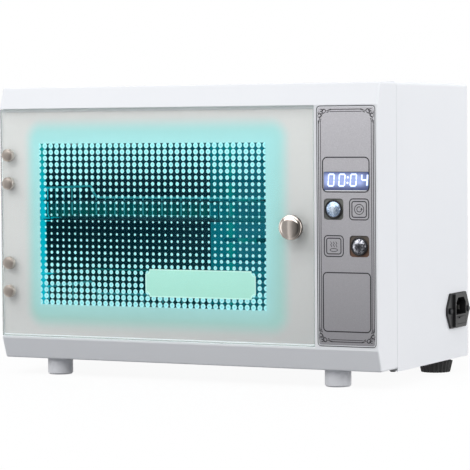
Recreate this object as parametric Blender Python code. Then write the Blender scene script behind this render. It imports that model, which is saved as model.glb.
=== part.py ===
# UV sterilizer cabinet as separate solids, in metres.
# Places are taken from the case's left side, front plane and the surface that it stands on.
# One empty then puts the middle of the whole cabinet's base at the world's origin.
import bpy
import bmesh
from math import cos, pi, radians, sin, sqrt
from mathutils import Matrix, Vector

# Whole cabinet
CASE_WIDTH = 0.360
CASE_DEPTH = 0.197
BEZEL_HEIGHT = 0.236
BEZEL_DEPTH = 0.0388
FOOT_HEIGHT = 0.0145
SEAT_GAP = 0.0003
OVERCUT = 0.002

# Front bezel
BEZEL_WALL = 0.0025
SLOPE_SETBACK = 0.0061
TOP_SLOPE_HEIGHT = 0.0181
BOTTOM_SLOPE_HEIGHT = 0.0175
SLOPE_EDGE_RADIUS = 0.0016
BEZEL_END_RADIUS = 0.0015
DOOR_WEB_THICKNESS = 0.0024
PANEL_WEB_THICKNESS = 0.0017
POCKET_CORNER_RADIUS = 0.002
DIVIDER_WIDTH = 0.0022
DOOR_RIM_BELOW = 0.0020
DOOR_RIM_ABOVE = 0.0007
BEVEL_SHARE = 0.5

# Outer casing, base and rear panel
SHEET = 0.0010
SEAM_GAP = 0.0004
CASING_RISE = 0.0007
CASING_DROP = 0.0025
CASING_CORNER_RADIUS = 0.003
BASE_SHEET = 0.0012
BASE_LIFT = 0.0010
REAR_PANEL_SHEET = 0.0012
VENT_SLOT_HEIGHT = 0.003
VENT_PITCH = 0.0065
FAN_VENT_WIDTH = 0.050
FAN_VENT_ROWS = 8
BAY_VENT_WIDTH = 0.034
BAY_VENT_ROWS = 7
BAY_VENT_FROM_RIGHT = 0.033
BAY_VENT_CENTRE_UP = 0.165

# Glass door
DOOR_SIDE_GAP = 0.0003
GLASS_THICKNESS = 0.005
GLASS_EDGE_BEVEL = 0.0006
DOOR_GAP = 0.0004
REBATE_GAP = 0.0006
KNOB_FROM_DOOR_EDGE = 0.0171
KNOB_BELOW_MIDDLE = 0.00065

# Chamber behind the door
MOUTH_LEFT = 0.0140
MOUTH_FROM_DOOR_RIGHT = 0.0114
MOUTH_FROM_DOOR_BOTTOM = 0.0045
MOUTH_FROM_DOOR_TOP = 0.0072
MOUTH_LIP = 0.0015
LINER_SHEET = 0.0008
AIR_HOLE_WIDTH = 0.050

# Hinges: the pin stands just behind the glass, near its left edge
PIN_RADIUS = 0.0010
PIN_CLEARANCE = 0.00025
KNUCKLE_RADIUS = 0.0023
KNUCKLE_LENGTH = 0.014
HINGE_EAR_LENGTH = 0.004
HINGE_END_GAP = 0.0003
LEAF_THICKNESS = 0.0015
LEAF_HEIGHT = 0.034
LEAF_REACH_SHARE = 0.9
BRACKET_SHEET = 0.0012
BRACKET_FROM_KNUCKLE = 0.0007
BRACKET_DEPTH = 0.018
BRACKET_HEIGHT = 0.032
BRACKET_FOOT_GAP = 0.0007
SWING_CLEARANCE = 0.0008
EDGE_RELIEF_WIDTH = 0.0012
UPPER_HINGE_DROP = 0.0522
LOWER_HINGE_RISE = 0.0515
CAP_FROM_LEFT = 0.0092
CAP_SPACING = 0.0246
CAP_RADIUS = 0.00545
CAP_PROUD = 0.0042
CAP_EDGE_RADIUS = 0.0012
CAP_STUD_RADIUS = 0.0025
STUD_CLEARANCE = 0.0004

# Door knob and its nut
KNOB_RADIUS = 0.0105
KNOB_PROUD = 0.0120
KNOB_RIM = 0.0024
KNOB_HEAD_LENGTH = 0.0048
KNOB_NECK_RADIUS = 0.0038
KNOB_FLANGE_RADIUS = 0.0062
KNOB_FLANGE_THICKNESS = 0.0016
KNOB_FACE_RADIUS = 0.0062
KNOB_STUD_RADIUS = 0.0020
KNOB_NUT_ACROSS = 0.0068
KNOB_NUT_THICKNESS = 0.0026
KNOB_FLARE_SHARE = 1.6
KNOB_FACE_SHARE = 1.35

# Catch at the door's free edge
CATCH_FROM_LINER = 0.0007
CATCH_WIDTH = 0.0070
CATCH_HEIGHT = 0.024
CATCH_DEPTH = 0.008
CATCH_FLANGE = 0.003
CATCH_FLANGE_THICKNESS = 0.0015
STRIKE_THICKNESS = 0.0008
DOOR_SWITCH_HEIGHT = 0.018
DOOR_SWITCH_DEPTH = 0.006
DOOR_SWITCH_FROM_CATCH = 0.0173

# Baskets and their rails
RAIL_SHEET = 0.0010
RAIL_LEDGE = 0.0070
RAIL_LEDGE_THICKNESS = 0.0012
RAIL_FRONT_SETBACK = 0.004
RAIL_BACK_SETBACK = 0.006
RAIL_POST_WIDTH = 0.010
RAIL_POST_INSET = 0.010
RAIL_OVERLAP_UP = 0.006
UPPER_BASKET_RISE = 0.0970
LOWER_BASKET_RISE = 0.0090
SPARE_LEDGE_RISE = 0.0495
BASKET_SIDE_HEIGHT = 0.029
BASKET_END_HEIGHT = 0.0185
BASKET_CORNER_WIDTH = 0.0030
BASKET_DIP_RUN = 0.0040
BASKET_SIDE_GAP = 0.0006
BASKET_FRONT_SETBACK = 0.0177
BASKET_FROM_COVER = 0.005
BASKET_BAR = 0.0020
BASKET_SLOTS_ACROSS = 14
BASKET_SLOTS_DEEP = 6
BASKET_RIM = 0.0030

# Ultraviolet lamp
LAMP_RADIUS = 0.008
LAMP_CAP_LENGTH = 0.008
LAMP_CAP_RADIUS = 0.0083
LAMP_DROP = 0.0150
LAMP_BEHIND_FRONT = 0.066
SOCKET_LENGTH = 0.012
SOCKET_WIDTH = 0.020
SOCKET_HEIGHT = 0.026
SOCKET_FROM_WALL = 0.02195
REFLECTOR_SHEET = 0.0008
REFLECTOR_RADIUS = 0.030
REFLECTOR_HALF_ANGLE = radians(48)
REFLECTOR_END_GAP = 0.006

# Drying air path
DUCT_COVER_WIDTH = 0.100
DUCT_COVER_MARGIN = 0.0115
DUCT_COVER_THICKNESS = 0.003
DUCT_COVER_SLOTS = 9
DUCT_SLOT_HEIGHT = 0.004
DUCT_SLOT_MARGIN = 0.012
SLOT_ROUND_SHARE = 0.98
FAN_FROM_LINER_RIGHT = 0.103
FAN_ABOVE_MIDDLE = 0.003
FAN_SIZE = 0.060
FAN_THICKNESS = 0.015
FAN_WALL = 0.0015
FAN_FILLET = 0.002
FAN_STRUT = 0.003
FAN_MOUNT_RADIUS = 0.011
FAN_AXLE_RADIUS = 0.0015
FAN_AXLE_CLEARANCE = 0.00015
ROTOR_HUB_RADIUS = 0.012
ROTOR_TIP_GAP = 0.0012
ROTOR_FRONT_GAP = 0.0022
ROTOR_BLADES = 7
BLADE_WIDTH_SHARE = 0.82
BLADE_THICKNESS = 0.0012
BLADE_PITCH = radians(38)
DUCT_WALL = 0.0012
DUCT_LENGTH = 0.0448
DUCT_FILLET = 0.002
HEATER_FILLET = 0.001
HEATER_DEPTH = 0.014
HEATER_BAR = 0.0022
HEATER_ROWS = 5
HEATER_COLUMNS = 2
HEATER_FROM_FAN = 0.008

# Machine bay
BALLAST_FROM_RIGHT = 0.018
BALLAST_WIDTH = 0.040
BALLAST_FROM_INLET = 0.0284
BALLAST_DEPTH = 0.062
BALLAST_HEIGHT = 0.028
BALLAST_EDGE = 0.002

# Control plate, display and keys
PLATE_FROM_RIGHT = 0.0020
PLATE_WIDTH = 0.0522
PLATE_RIM_BELOW = 0.0029
PLATE_RIM_ABOVE = 0.0009
PLATE_THICKNESS = 0.0008
PLATE_SETBACK = 0.0002
PLATE_CORNER_RADIUS = 0.003
PLATE_GAP = 0.0003
KEYS_ASIDE = 0.00015
KEYS_ABOVE_PLATE = 0.0822
KEY_HOLE = 0.0174
KEY_SPACE_ACROSS = 0.0054
KEY_SPACE_UP = 0.0127
KEY_CORNER_RADIUS = 0.0028
KEY_GAP = 0.0003
KEY_TRAVEL = 0.0010
KEY_FLANGE_LIP = 0.0010
KEY_FLANGE_THICKNESS = 0.0012
KEY_DOME_RADIUS = 0.0068
KEY_DOME_DEPTH = 0.0030
PLUNGER_RADIUS = 0.0025
SWITCH_SIZE = 0.006
SWITCH_HEIGHT = 0.0034
WINDOW_ABOVE_PLATE = 0.1352
WINDOW_WIDTH = 0.0394
WINDOW_HEIGHT = 0.0148
WINDOW_CORNER_RADIUS = 0.0008
LENS_THICKNESS = 0.0012
DISPLAY_RIM = 0.0008
WEB_HOLE_MARGIN = 0.0014
WEB_HOLE_TOP_MARGIN = 0.0025
BOARD_FRONT = 0.0105
BOARD_THICKNESS = 0.0016
BOARD_MARGIN = 0.008
POST_RADIUS = 0.0025
POST_INSET = 0.004

# Mains inlet on the right side
INLET_CENTRE_BACK = 0.0270
INLET_CENTRE_UP = 0.0395
INLET_EAR = 0.005
INLET_FLANGE_SHOULDER = 0.0175
INLET_FLANGE_RIM = 0.00075
INLET_FLANGE_TIP = 0.0060
INLET_FLANGE_THICKNESS = 0.0018
INLET_RAISE = 0.0022
INLET_RAISED_RIM = 0.0014
INLET_RAISED_OVER_BODY = 0.00125
INLET_SIDE_WALL = 0.0025
INLET_BOTTOM_WALL = 0.00135
INLET_DIVIDER = 0.0015
INLET_TOP_WALL = 0.00205
INLET_BODY_DEPTH = 0.026
INLET_CORNER_RADIUS = 0.002
SOCKET_OPENING_WIDTH = 0.0222
SOCKET_OPENING_HEIGHT = 0.0148
SOCKET_OPENING_DEPTH = 0.017
SOCKET_OPENING_CHAMFER = 0.0045
PIN_SPACING = 0.014
PIN_OFFSET = 0.002
PIN_WIDTH = 0.0040
PIN_BLADE = 0.0020
PIN_LENGTH = 0.012
DRAWER_WIDTH = 0.020
DRAWER_HEIGHT = 0.0062
DRAWER_DEPTH = 0.018
DRAWER_GAP = 0.0003
DRAWER_LIP_HEIGHT = 0.0012
INLET_SCREW_SPACING = 0.0400

# Screws and feet
SCREW_HEAD_RADIUS = 0.0028
SCREW_HEAD_HEIGHT = 0.0016
SCREW_SHANK_RADIUS = 0.0013
SCREW_LENGTH = 0.006
SCREW_HOLE_CLEARANCE = 0.0004
SCREW_SLOT = 0.0008
SCREW_TOP_SHARE = 0.72
REAR_SCREW_INSET = 0.009
BASE_SCREW_INSET_X = 0.0075
BASE_SCREW_FROM_SEAM = 0.0073
FRONT_FOOT_RADIUS = 0.011
FRONT_FOOT_INSET = 0.0462
FRONT_FOOT_BACK = 0.022
FRONT_FOOT_EDGE = 0.0012
REAR_FOOT_TOP_RADIUS = 0.0150
REAR_FOOT_BOTTOM_RADIUS = 0.0127
REAR_FOOT_INSET = 0.0170
REAR_FOOT_FROM_BACK = 0.034
REAR_FOOT_RIBS = 24
REAR_FOOT_RIB_DEPTH = 0.0009
REAR_FOOT_COLLAR = 0.0030

# Places that follow from the sizes above
BEZEL_BOTTOM = FOOT_HEIGHT
BEZEL_TOP = BEZEL_BOTTOM + BEZEL_HEIGHT
DOOR_BOTTOM = BEZEL_BOTTOM + BOTTOM_SLOPE_HEIGHT + DOOR_RIM_BELOW
DOOR_TOP = BEZEL_TOP - TOP_SLOPE_HEIGHT - DOOR_RIM_ABOVE
PLATE_LEFT = CASE_WIDTH - PLATE_FROM_RIGHT - PLATE_WIDTH
PLATE_BOTTOM = BEZEL_BOTTOM + BOTTOM_SLOPE_HEIGHT + PLATE_RIM_BELOW
PLATE_TOP = BEZEL_TOP - TOP_SLOPE_HEIGHT - PLATE_RIM_ABOVE
DOOR_RIGHT = PLATE_LEFT - PLATE_GAP - DIVIDER_WIDTH - DOOR_GAP
REBATE_FACE = GLASS_THICKNESS + REBATE_GAP
WEB_BACK = REBATE_FACE + DOOR_WEB_THICKNESS
MOUTH_RIGHT = DOOR_RIGHT - MOUTH_FROM_DOOR_RIGHT
MOUTH_BOTTOM = DOOR_BOTTOM + MOUTH_FROM_DOOR_BOTTOM
MOUTH_TOP = DOOR_TOP - MOUTH_FROM_DOOR_TOP
LINER_LEFT = MOUTH_LEFT - MOUTH_LIP
LINER_RIGHT = MOUTH_RIGHT + MOUTH_LIP
LINER_BOTTOM = MOUTH_BOTTOM - MOUTH_LIP
LINER_TOP = MOUTH_TOP + MOUTH_LIP
LINER_FRONT = WEB_BACK + SEAT_GAP
CASING_FRONT = BEZEL_DEPTH + SEAM_GAP
CASING_TOP = BEZEL_TOP + CASING_RISE
CASING_BOTTOM = BEZEL_BOTTOM - CASING_DROP
BASE_BOTTOM = CASING_BOTTOM + BASE_LIFT
BASE_TOP = BASE_BOTTOM + BASE_SHEET
REAR_PANEL_FRONT = CASE_DEPTH - REAR_PANEL_SHEET
FAN_BACK = REAR_PANEL_FRONT - SEAT_GAP
FAN_FRONT = FAN_BACK - FAN_THICKNESS
DUCT_BACK = FAN_FRONT - SEAT_GAP
DUCT_FRONT = DUCT_BACK - DUCT_LENGTH
LINER_BACK = DUCT_FRONT - SEAT_GAP - LINER_SHEET
DUCT_COVER_FRONT = LINER_BACK - SEAT_GAP - DUCT_COVER_THICKNESS
PLATE_BACK = PLATE_SETBACK + PLATE_THICKNESS
PLATE_SEAT = PLATE_BACK + SEAT_GAP
PANEL_WEB_BACK = PLATE_SEAT + PANEL_WEB_THICKNESS
KNOB_X = DOOR_RIGHT - KNOB_FROM_DOOR_EDGE
KNOB_Z = (DOOR_BOTTOM + DOOR_TOP) / 2 - KNOB_BELOW_MIDDLE
LEAF_FRONT = GLASS_THICKNESS + SEAT_GAP
LEAF_BACK = LEAF_FRONT + LEAF_THICKNESS
PIN_FROM_LEFT = DOOR_SIDE_GAP + KNUCKLE_RADIUS
PIN_BEHIND_FRONT = LEAF_BACK + SEAT_GAP + KNUCKLE_RADIUS
BRACKET_LEFT = PIN_FROM_LEFT + KNUCKLE_RADIUS + BRACKET_FROM_KNUCKLE
CATCH_LEFT = LINER_RIGHT + LINER_SHEET + CATCH_FROM_LINER
HINGE_AXIS = Vector((PIN_FROM_LEFT, PIN_BEHIND_FRONT, 0))
HINGES = {"upper": DOOR_TOP - UPPER_HINGE_DROP, "lower": DOOR_BOTTOM + LOWER_HINGE_RISE}
BASKETS = {"upper": LINER_BOTTOM + UPPER_BASKET_RISE, "lower": LINER_BOTTOM + LOWER_BASKET_RISE}
SPARE_LEDGE = LINER_BOTTOM + SPARE_LEDGE_RISE
BASKET_FRONT = LINER_FRONT + BASKET_FRONT_SETBACK
BASKET_BACK = DUCT_COVER_FRONT - BASKET_FROM_COVER
FAN_CENTRE_X = LINER_RIGHT - FAN_FROM_LINER_RIGHT
FAN_Z = (LINER_BOTTOM + LINER_TOP) / 2 + FAN_ABOVE_MIDDLE
FAN_BORE_RADIUS = FAN_SIZE / 2 - FAN_WALL
ROTOR_HEIGHT = FAN_THICKNESS - FAN_STRUT - SEAT_GAP - ROTOR_FRONT_GAP
LAMP_LENGTH = LINER_RIGHT - LINER_LEFT - 2 * (SOCKET_FROM_WALL + SOCKET_LENGTH + SEAT_GAP)
LAMP_X = (LINER_LEFT + LINER_RIGHT) / 2
LAMP_Z = LINER_TOP - LAMP_DROP
INLET_Y = CASE_DEPTH - INLET_CENTRE_BACK
INLET_Z = BEZEL_BOTTOM + INLET_CENTRE_UP
INLET_BODY_WIDTH = SOCKET_OPENING_WIDTH + 2 * INLET_SIDE_WALL
INLET_BODY_HOLDS = DRAWER_HEIGHT + 2 * DRAWER_GAP + INLET_DIVIDER + SOCKET_OPENING_HEIGHT
INLET_BODY_HEIGHT = INLET_BOTTOM_WALL + INLET_BODY_HOLDS + INLET_TOP_WALL
INLET_RAISED_WIDTH = SOCKET_OPENING_WIDTH + 2 * INLET_RAISED_RIM
INLET_RAISED_HEIGHT = INLET_BODY_HEIGHT + 2 * INLET_RAISED_OVER_BODY
INLET_FLANGE_HEIGHT = INLET_RAISED_HEIGHT + 2 * INLET_FLANGE_RIM
INLET_FLANGE_HALF_WIDTH = INLET_SCREW_SPACING / 2 + INLET_EAR
DRAWER_Z = INLET_Z - INLET_BODY_HEIGHT / 2 + INLET_BOTTOM_WALL + DRAWER_GAP + DRAWER_HEIGHT / 2
SOCKET_Z = DRAWER_Z + DRAWER_HEIGHT / 2 + DRAWER_GAP + INLET_DIVIDER + SOCKET_OPENING_HEIGHT / 2
INLET_FACE = CASE_WIDTH + SEAT_GAP + INLET_FLANGE_THICKNESS
INLET_FRONT = INLET_FACE + INLET_RAISE
INLET_SCREW_PROUD = SEAT_GAP + SCREW_HEAD_HEIGHT
SIDE_PROUD = max(INLET_FRONT + DRAWER_LIP_HEIGHT, INLET_FACE + INLET_SCREW_PROUD) - CASE_WIDTH
REAR_PROUD = SEAT_GAP + SCREW_HEAD_HEIGHT
BASE_SCREW_BACK = CASING_FRONT + BASE_SCREW_FROM_SEAM
REAR_FOOT_BACK = CASE_DEPTH - REAR_FOOT_FROM_BACK
PANEL_MIDDLE_X = PLATE_LEFT + PLATE_WIDTH / 2
KEY_PITCH_X = KEY_HOLE + KEY_SPACE_ACROSS
KEY_PITCH_Z = KEY_HOLE + KEY_SPACE_UP
KEY_LEFT_X = PANEL_MIDDLE_X + KEYS_ASIDE - KEY_PITCH_X / 2
KEY_LOWER_Z = PLATE_BOTTOM + KEYS_ABOVE_PLATE
KEY_ROOM = KEY_HOLE / 2 + KEY_FLANGE_LIP + WEB_HOLE_MARGIN
WINDOW_Z = PLATE_BOTTOM + WINDOW_ABOVE_PLATE
WEB_HOLE_LEFT = KEY_LEFT_X - KEY_ROOM
WEB_HOLE_RIGHT = KEY_LEFT_X + KEY_PITCH_X + KEY_ROOM
WEB_HOLE_BOTTOM = KEY_LOWER_Z - KEY_ROOM
WEB_HOLE_TOP = WINDOW_Z + WINDOW_HEIGHT / 2 + WEB_HOLE_TOP_MARGIN
KEYS = {
    "power_key": (0, 1, "dome"),
    "auto_key": (1, 1, "flat"),
    "drying_key": (0, 0, "flat"),
    "lamp_key": (1, 0, "dome"),
}

ROUND = 32
SMALL_ROUND = 16
SMOOTH_ANGLE = radians(32)


# Materials

def finish_of(name, colour, roughness, metallic=0.0, alpha=1.0):
    finish = bpy.data.materials.new(name)
    finish.use_nodes = True
    shader = finish.node_tree.nodes["Principled BSDF"]
    shader.inputs["Base Color"].default_value = (*colour, 1)
    shader.inputs["Roughness"].default_value = roughness
    shader.inputs["Metallic"].default_value = metallic
    shader.inputs["Alpha"].default_value = alpha
    finish.diffuse_color = (*colour, alpha)
    return finish


def make_finishes():
    return {
        "white_paint": finish_of("white_paint", (0.86, 0.86, 0.88), 0.4),
        "sheet_steel": finish_of("sheet_steel", (0.62, 0.63, 0.64), 0.35, 1.0),
        "liner_steel": finish_of("liner_steel", (0.70, 0.72, 0.73), 0.25, 1.0),
        "door_glass": finish_of("door_glass", (0.72, 0.86, 0.83), 0.08, 0.0, 0.4),
        "polished_steel": finish_of("polished_steel", (0.75, 0.74, 0.72), 0.18, 1.0),
        "wire_steel": finish_of("wire_steel", (0.66, 0.67, 0.68), 0.25, 1.0),
        "panel_silver": finish_of("panel_silver", (0.46, 0.45, 0.46), 0.45, 0.3),
        "display_lens": finish_of("display_lens", (0.20, 0.21, 0.50), 0.1),
        "black_plastic": finish_of("black_plastic", (0.03, 0.03, 0.035), 0.45),
        "black_rubber": finish_of("black_rubber", (0.02, 0.02, 0.022), 0.7),
        "pale_foot": finish_of("pale_foot", (0.62, 0.62, 0.63), 0.5),
        "board_green": finish_of("board_green", (0.05, 0.22, 0.10), 0.5),
        "lamp_glass": finish_of("lamp_glass", (0.75, 0.85, 1.0), 0.1),
        "socket_white": finish_of("socket_white", (0.80, 0.80, 0.78), 0.4),
        "brass": finish_of("brass", (0.75, 0.60, 0.30), 0.3, 1.0),
        "black_screw": finish_of("black_screw", (0.02, 0.02, 0.02), 0.35, 1.0),
        "magnet_brown": finish_of("magnet_brown", (0.25, 0.17, 0.11), 0.5),
        "heater_grey": finish_of("heater_grey", (0.55, 0.55, 0.56), 0.4, 1.0),
    }


# Outlines, as lists of two-sided points

def rectangle(u, v):
    return [(u[0], v[0]), (u[1], v[0]), (u[1], v[1]), (u[0], v[1])]


def rounded(points, radius, steps=4):
    """An outline with each corner turned on one radius, or on its own where a list is given"""
    radii = radius if isinstance(radius, (list, tuple)) else [radius] * len(points)
    outline = []
    for index, corner in enumerate(points):
        here = Vector(corner)
        before = (Vector(points[index - 1]) - here).normalized()
        after = (Vector(points[(index + 1) % len(points)]) - here).normalized()
        if radii[index] == 0:
            outline.append(tuple(here))
            continue
        half = before.angle(after) / 2
        reach = radii[index] / sin(half) * cos(half)
        middle = here + (before + after).normalized() * radii[index] / sin(half)
        start = here + before * reach - middle
        sweep = start.angle_signed(here + after * reach - middle)
        for step in range(steps + 1):
            turn = Matrix.Rotation(-sweep * step / steps, 2)
            outline.append(tuple(middle + turn @ start))
    return outline


def circle(centre, radius, steps=SMALL_ROUND):
    return [
        (centre[0] + radius * cos(2 * pi * i / steps), centre[1] + radius * sin(2 * pi * i / steps))
        for i in range(steps)
    ]


def tongue(centre, radius, far, side, steps=10):
    """A half circle round a centre, with straight sides that run on to a far line in u or v"""
    start = {"u": pi / 2, "v": pi}[side] if far > centre["uv".index(side)] else {"u": -pi / 2, "v": 0}[side]
    arc = []
    for step in range(steps + 1):
        angle = start + pi * step / steps
        arc.append((centre[0] + radius * cos(angle), centre[1] + radius * sin(angle)))
    if side == "u":
        return arc + [(far, arc[-1][1]), (far, arc[0][1])]
    return arc + [(arc[-1][0], far), (arc[0][0], far)]


def square_round(centre, width, height, radius, steps=4):
    u = (centre[0] - width / 2, centre[0] + width / 2)
    v = (centre[1] - height / 2, centre[1] + height / 2)
    return rounded(rectangle(u, v), radius, steps)


# Solids

ORDER = {
    "X": lambda u, v, along: (along, u, v),
    "Y": lambda u, v, along: (u, along, v),
    "Z": lambda u, v, along: (u, v, along),
}


def prism(outline, axis, low, high):
    """The solid between two planes across an axis; the outline gives the other two places in X, Y, Z order"""
    shape = bmesh.new()
    ends = []
    for level in (low, high):
        ends.append([shape.verts.new(ORDER[axis](u, v, level)) for u, v in outline])
    shape.faces.new(ends[0])
    shape.faces.new(list(reversed(ends[1])))
    count = len(outline)
    for i in range(count):
        j = (i + 1) % count
        shape.faces.new((ends[0][j], ends[0][i], ends[1][i], ends[1][j]))
    bmesh.ops.recalc_face_normals(shape, faces=shape.faces)
    return shape


def box(x, y, z):
    return prism(rectangle(x, y), "Z", z[0], z[1])


def turned(profile, centre, axis, steps=ROUND, ribs=0, rib_depth=0):
    """A solid of revolution from (radius, along) points; ribs draw every other step in by the rib's depth"""
    shape = bmesh.new()
    rings = []
    for radius, along in profile:
        if radius == 0:
            rings.append([shape.verts.new(ORDER[axis](0, 0, along))])
            continue
        ring = []
        for i in range(steps):
            angle = 2 * pi * i / steps
            reach = radius - (rib_depth if ribs and i % 2 else 0)
            ring.append(shape.verts.new(ORDER[axis](reach * cos(angle), reach * sin(angle), along)))
        rings.append(ring)
    closed = profile[0][0] > 0
    pairs = list(zip(rings, rings[1:]))
    if closed:
        pairs.append((rings[-1], rings[0]))
    for lower, upper in pairs:
        for i in range(steps):
            j = (i + 1) % steps
            corners = [lower[i % len(lower)], lower[j % len(lower)], upper[j % len(upper)], upper[i % len(upper)]]
            unique = list(dict.fromkeys(corners))
            if len(unique) > 2:
                shape.faces.new(unique)
    bmesh.ops.translate(shape, verts=shape.verts, vec=Vector(centre))
    bmesh.ops.recalc_face_normals(shape, faces=shape.faces)
    return shape


def rod(centre, axis, radius, low, high, steps=SMALL_ROUND):
    place = [centre[0], centre[1], centre[2]]
    place["XYZ".index(axis)] = 0
    return turned([(0, low), (radius, low), (radius, high), (0, high)], place, axis, steps)


def several(shapes):
    """Shapes that lie apart, as one mesh for one cut"""
    whole = bmesh.new()
    for shape in shapes:
        mesh = bpy.data.meshes.new("loose")
        shape.to_mesh(mesh)
        whole.from_mesh(mesh)
        bpy.data.meshes.remove(mesh)
        shape.free()
    return whole


# Objects

case_origin = None
finishes = {}


def solid(name, shape, finish, origin=(0, 0, 0), parent=None, smooth=True):
    """An object from a shape given in case places; its own origin goes where a joint needs it"""
    bmesh.ops.translate(shape, verts=shape.verts, vec=-Vector(origin))
    mesh = bpy.data.meshes.new(name)
    shape.to_mesh(mesh)
    shape.free()
    piece = bpy.data.objects.new(name, mesh)
    bpy.context.collection.objects.link(piece)
    mesh.materials.append(finishes[finish])
    if smooth:
        mesh.shade_smooth()
        mesh.set_sharp_from_angle(angle=SMOOTH_ANGLE)
    carrier = parent or case_origin
    piece.parent = carrier
    piece.location = Vector(origin) - (Vector(carrier.location) if parent else Vector())
    return piece


def change(piece, shape, operation):
    """Cuts a shape out of a piece, or fuses it on; the shape is given in case places"""
    origin = piece.matrix_basis.translation.copy()
    if piece.parent is not case_origin:
        origin += piece.parent.location
    bmesh.ops.translate(shape, verts=shape.verts, vec=-origin)
    bmesh.ops.recalc_face_normals(shape, faces=shape.faces)
    mesh = bpy.data.meshes.new(piece.name + "_tool")
    shape.to_mesh(mesh)
    shape.free()
    tool = bpy.data.objects.new(piece.name + "_tool", mesh)
    bpy.context.collection.objects.link(tool)
    tool.hide_render = True
    tool.display_type = "WIRE"
    tool.parent = piece
    step = piece.modifiers.new(operation.lower(), "BOOLEAN")
    step.operation = operation
    step.solver = "EXACT"
    step.object = tool


def cut(piece, *shapes):
    for shape in shapes:
        change(piece, shape, "DIFFERENCE")


def fuse(piece, *shapes):
    for shape in shapes:
        change(piece, shape, "UNION")


# Shell

def make_bezel():
    profile = [
        (0, BEZEL_BOTTOM + BOTTOM_SLOPE_HEIGHT),
        (SLOPE_SETBACK, BEZEL_BOTTOM),
        (BEZEL_DEPTH, BEZEL_BOTTOM),
        (BEZEL_DEPTH, BEZEL_TOP),
        (SLOPE_SETBACK, BEZEL_TOP),
        (0, BEZEL_TOP - TOP_SLOPE_HEIGHT),
    ]
    shape = prism(rounded(profile, [0, SLOPE_EDGE_RADIUS, 0, 0, SLOPE_EDGE_RADIUS, 0]), "X", 0, CASE_WIDTH)
    ends = []
    for edge in shape.edges:
        places = [corner.co for corner in edge.verts]
        across = abs(places[0].x - places[1].x) < SEAT_GAP
        at_seam = min(place.y for place in places) > BEZEL_DEPTH - SEAT_GAP
        if across and not at_seam:
            ends.append(edge)
    bmesh.ops.bevel(
        shape,
        geom=ends,
        offset=BEZEL_END_RADIUS,
        segments=3,
        profile=BEVEL_SHARE,
        affect="EDGES",
        clamp_overlap=True,
    )
    bezel = solid("front_bezel", shape, "white_paint")
    inside_x = (BEZEL_WALL, CASE_WIDTH - BEZEL_WALL)
    inside_z = (BEZEL_BOTTOM + BEZEL_WALL, BEZEL_TOP - BEZEL_WALL)
    past_seam = BEZEL_DEPTH + OVERCUT
    before = -OVERCUT
    recess_right = DOOR_RIGHT + DOOR_GAP
    recess_z = (DOOR_BOTTOM - DOOR_GAP, DOOR_TOP + DOOR_GAP)
    plate_x = (PLATE_LEFT - PLATE_GAP, PLATE_LEFT + PLATE_WIDTH + PLATE_GAP)
    plate_z = (PLATE_BOTTOM - PLATE_GAP, PLATE_TOP + PLATE_GAP)
    web_hole_z = (WEB_HOLE_BOTTOM, WEB_HOLE_TOP)
    cut(bezel, box(inside_x, (WEB_BACK, past_seam), inside_z))
    cut(bezel, box((plate_x[0], inside_x[1]), (PANEL_WEB_BACK, WEB_BACK + OVERCUT), plate_z))
    cut(bezel, box((before, recess_right), (before, REBATE_FACE), recess_z))
    mouth = rounded(rectangle((MOUTH_LEFT, MOUTH_RIGHT), (MOUTH_BOTTOM, MOUTH_TOP)), POCKET_CORNER_RADIUS)
    cut(bezel, prism(mouth, "Y", before, WEB_BACK + OVERCUT))
    seat = rounded(rectangle(plate_x, plate_z), PLATE_CORNER_RADIUS + PLATE_GAP)
    cut(bezel, prism(seat, "Y", before, PLATE_SEAT))
    cut(bezel, box((WEB_HOLE_LEFT, WEB_HOLE_RIGHT), (0, WEB_BACK), web_hole_z))
    back_reach = PIN_BEHIND_FRONT - GLASS_THICKNESS
    relief_depth = PIN_BEHIND_FRONT - sqrt(back_reach ** 2 - PIN_FROM_LEFT ** 2) + SEAT_GAP
    cut(bezel, box((before, EDGE_RELIEF_WIDTH), (0, relief_depth), recess_z))
    for height in HINGES.values():
        leaf_half = LEAF_HEIGHT / 2 + DOOR_GAP
        ear_half = KNUCKLE_LENGTH / 2 + HINGE_END_GAP + HINGE_EAR_LENGTH + DOOR_GAP
        leaf_depth = LEAF_BACK + SEAT_GAP
        cut(bezel, box((before, MOUTH_LEFT + OVERCUT), (0, leaf_depth), (height - leaf_half, height + leaf_half)))
        swing = back_reach + SWING_CLEARANCE
        pocket_right = BRACKET_LEFT + BRACKET_SHEET + SEAT_GAP
        cut(bezel, box((before, pocket_right), (0, PIN_BEHIND_FRONT + swing), (height - ear_half, height + ear_half)))
    catch_z = (KNOB_Z - CATCH_HEIGHT / 2 - SEAT_GAP, KNOB_Z + CATCH_HEIGHT / 2 + SEAT_GAP)
    catch_x = (CATCH_LEFT - SEAT_GAP, CATCH_LEFT + CATCH_WIDTH + SEAT_GAP)
    cut(bezel, box(catch_x, (0, WEB_BACK + OVERCUT), catch_z))
    post_x = (WEB_HOLE_LEFT + POST_RADIUS, WEB_HOLE_RIGHT - POST_RADIUS)
    post_z = (web_hole_z[0] - POST_INSET, web_hole_z[1] + POST_INSET)
    for x in post_x:
        for z in post_z:
            post_low = PANEL_WEB_BACK - PANEL_WEB_THICKNESS / 2
            fuse(bezel, rod((x, 0, z), "Y", POST_RADIUS, post_low, BOARD_FRONT - SEAT_GAP))
    for x in (FRONT_FOOT_INSET, CASE_WIDTH - FRONT_FOOT_INSET):
        hole = SCREW_SHANK_RADIUS + SCREW_HOLE_CLEARANCE
        cut(bezel, rod((x, FRONT_FOOT_BACK, 0), "Z", hole, 0, BEZEL_BOTTOM + BEZEL_WALL + OVERCUT))
    return bezel


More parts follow.
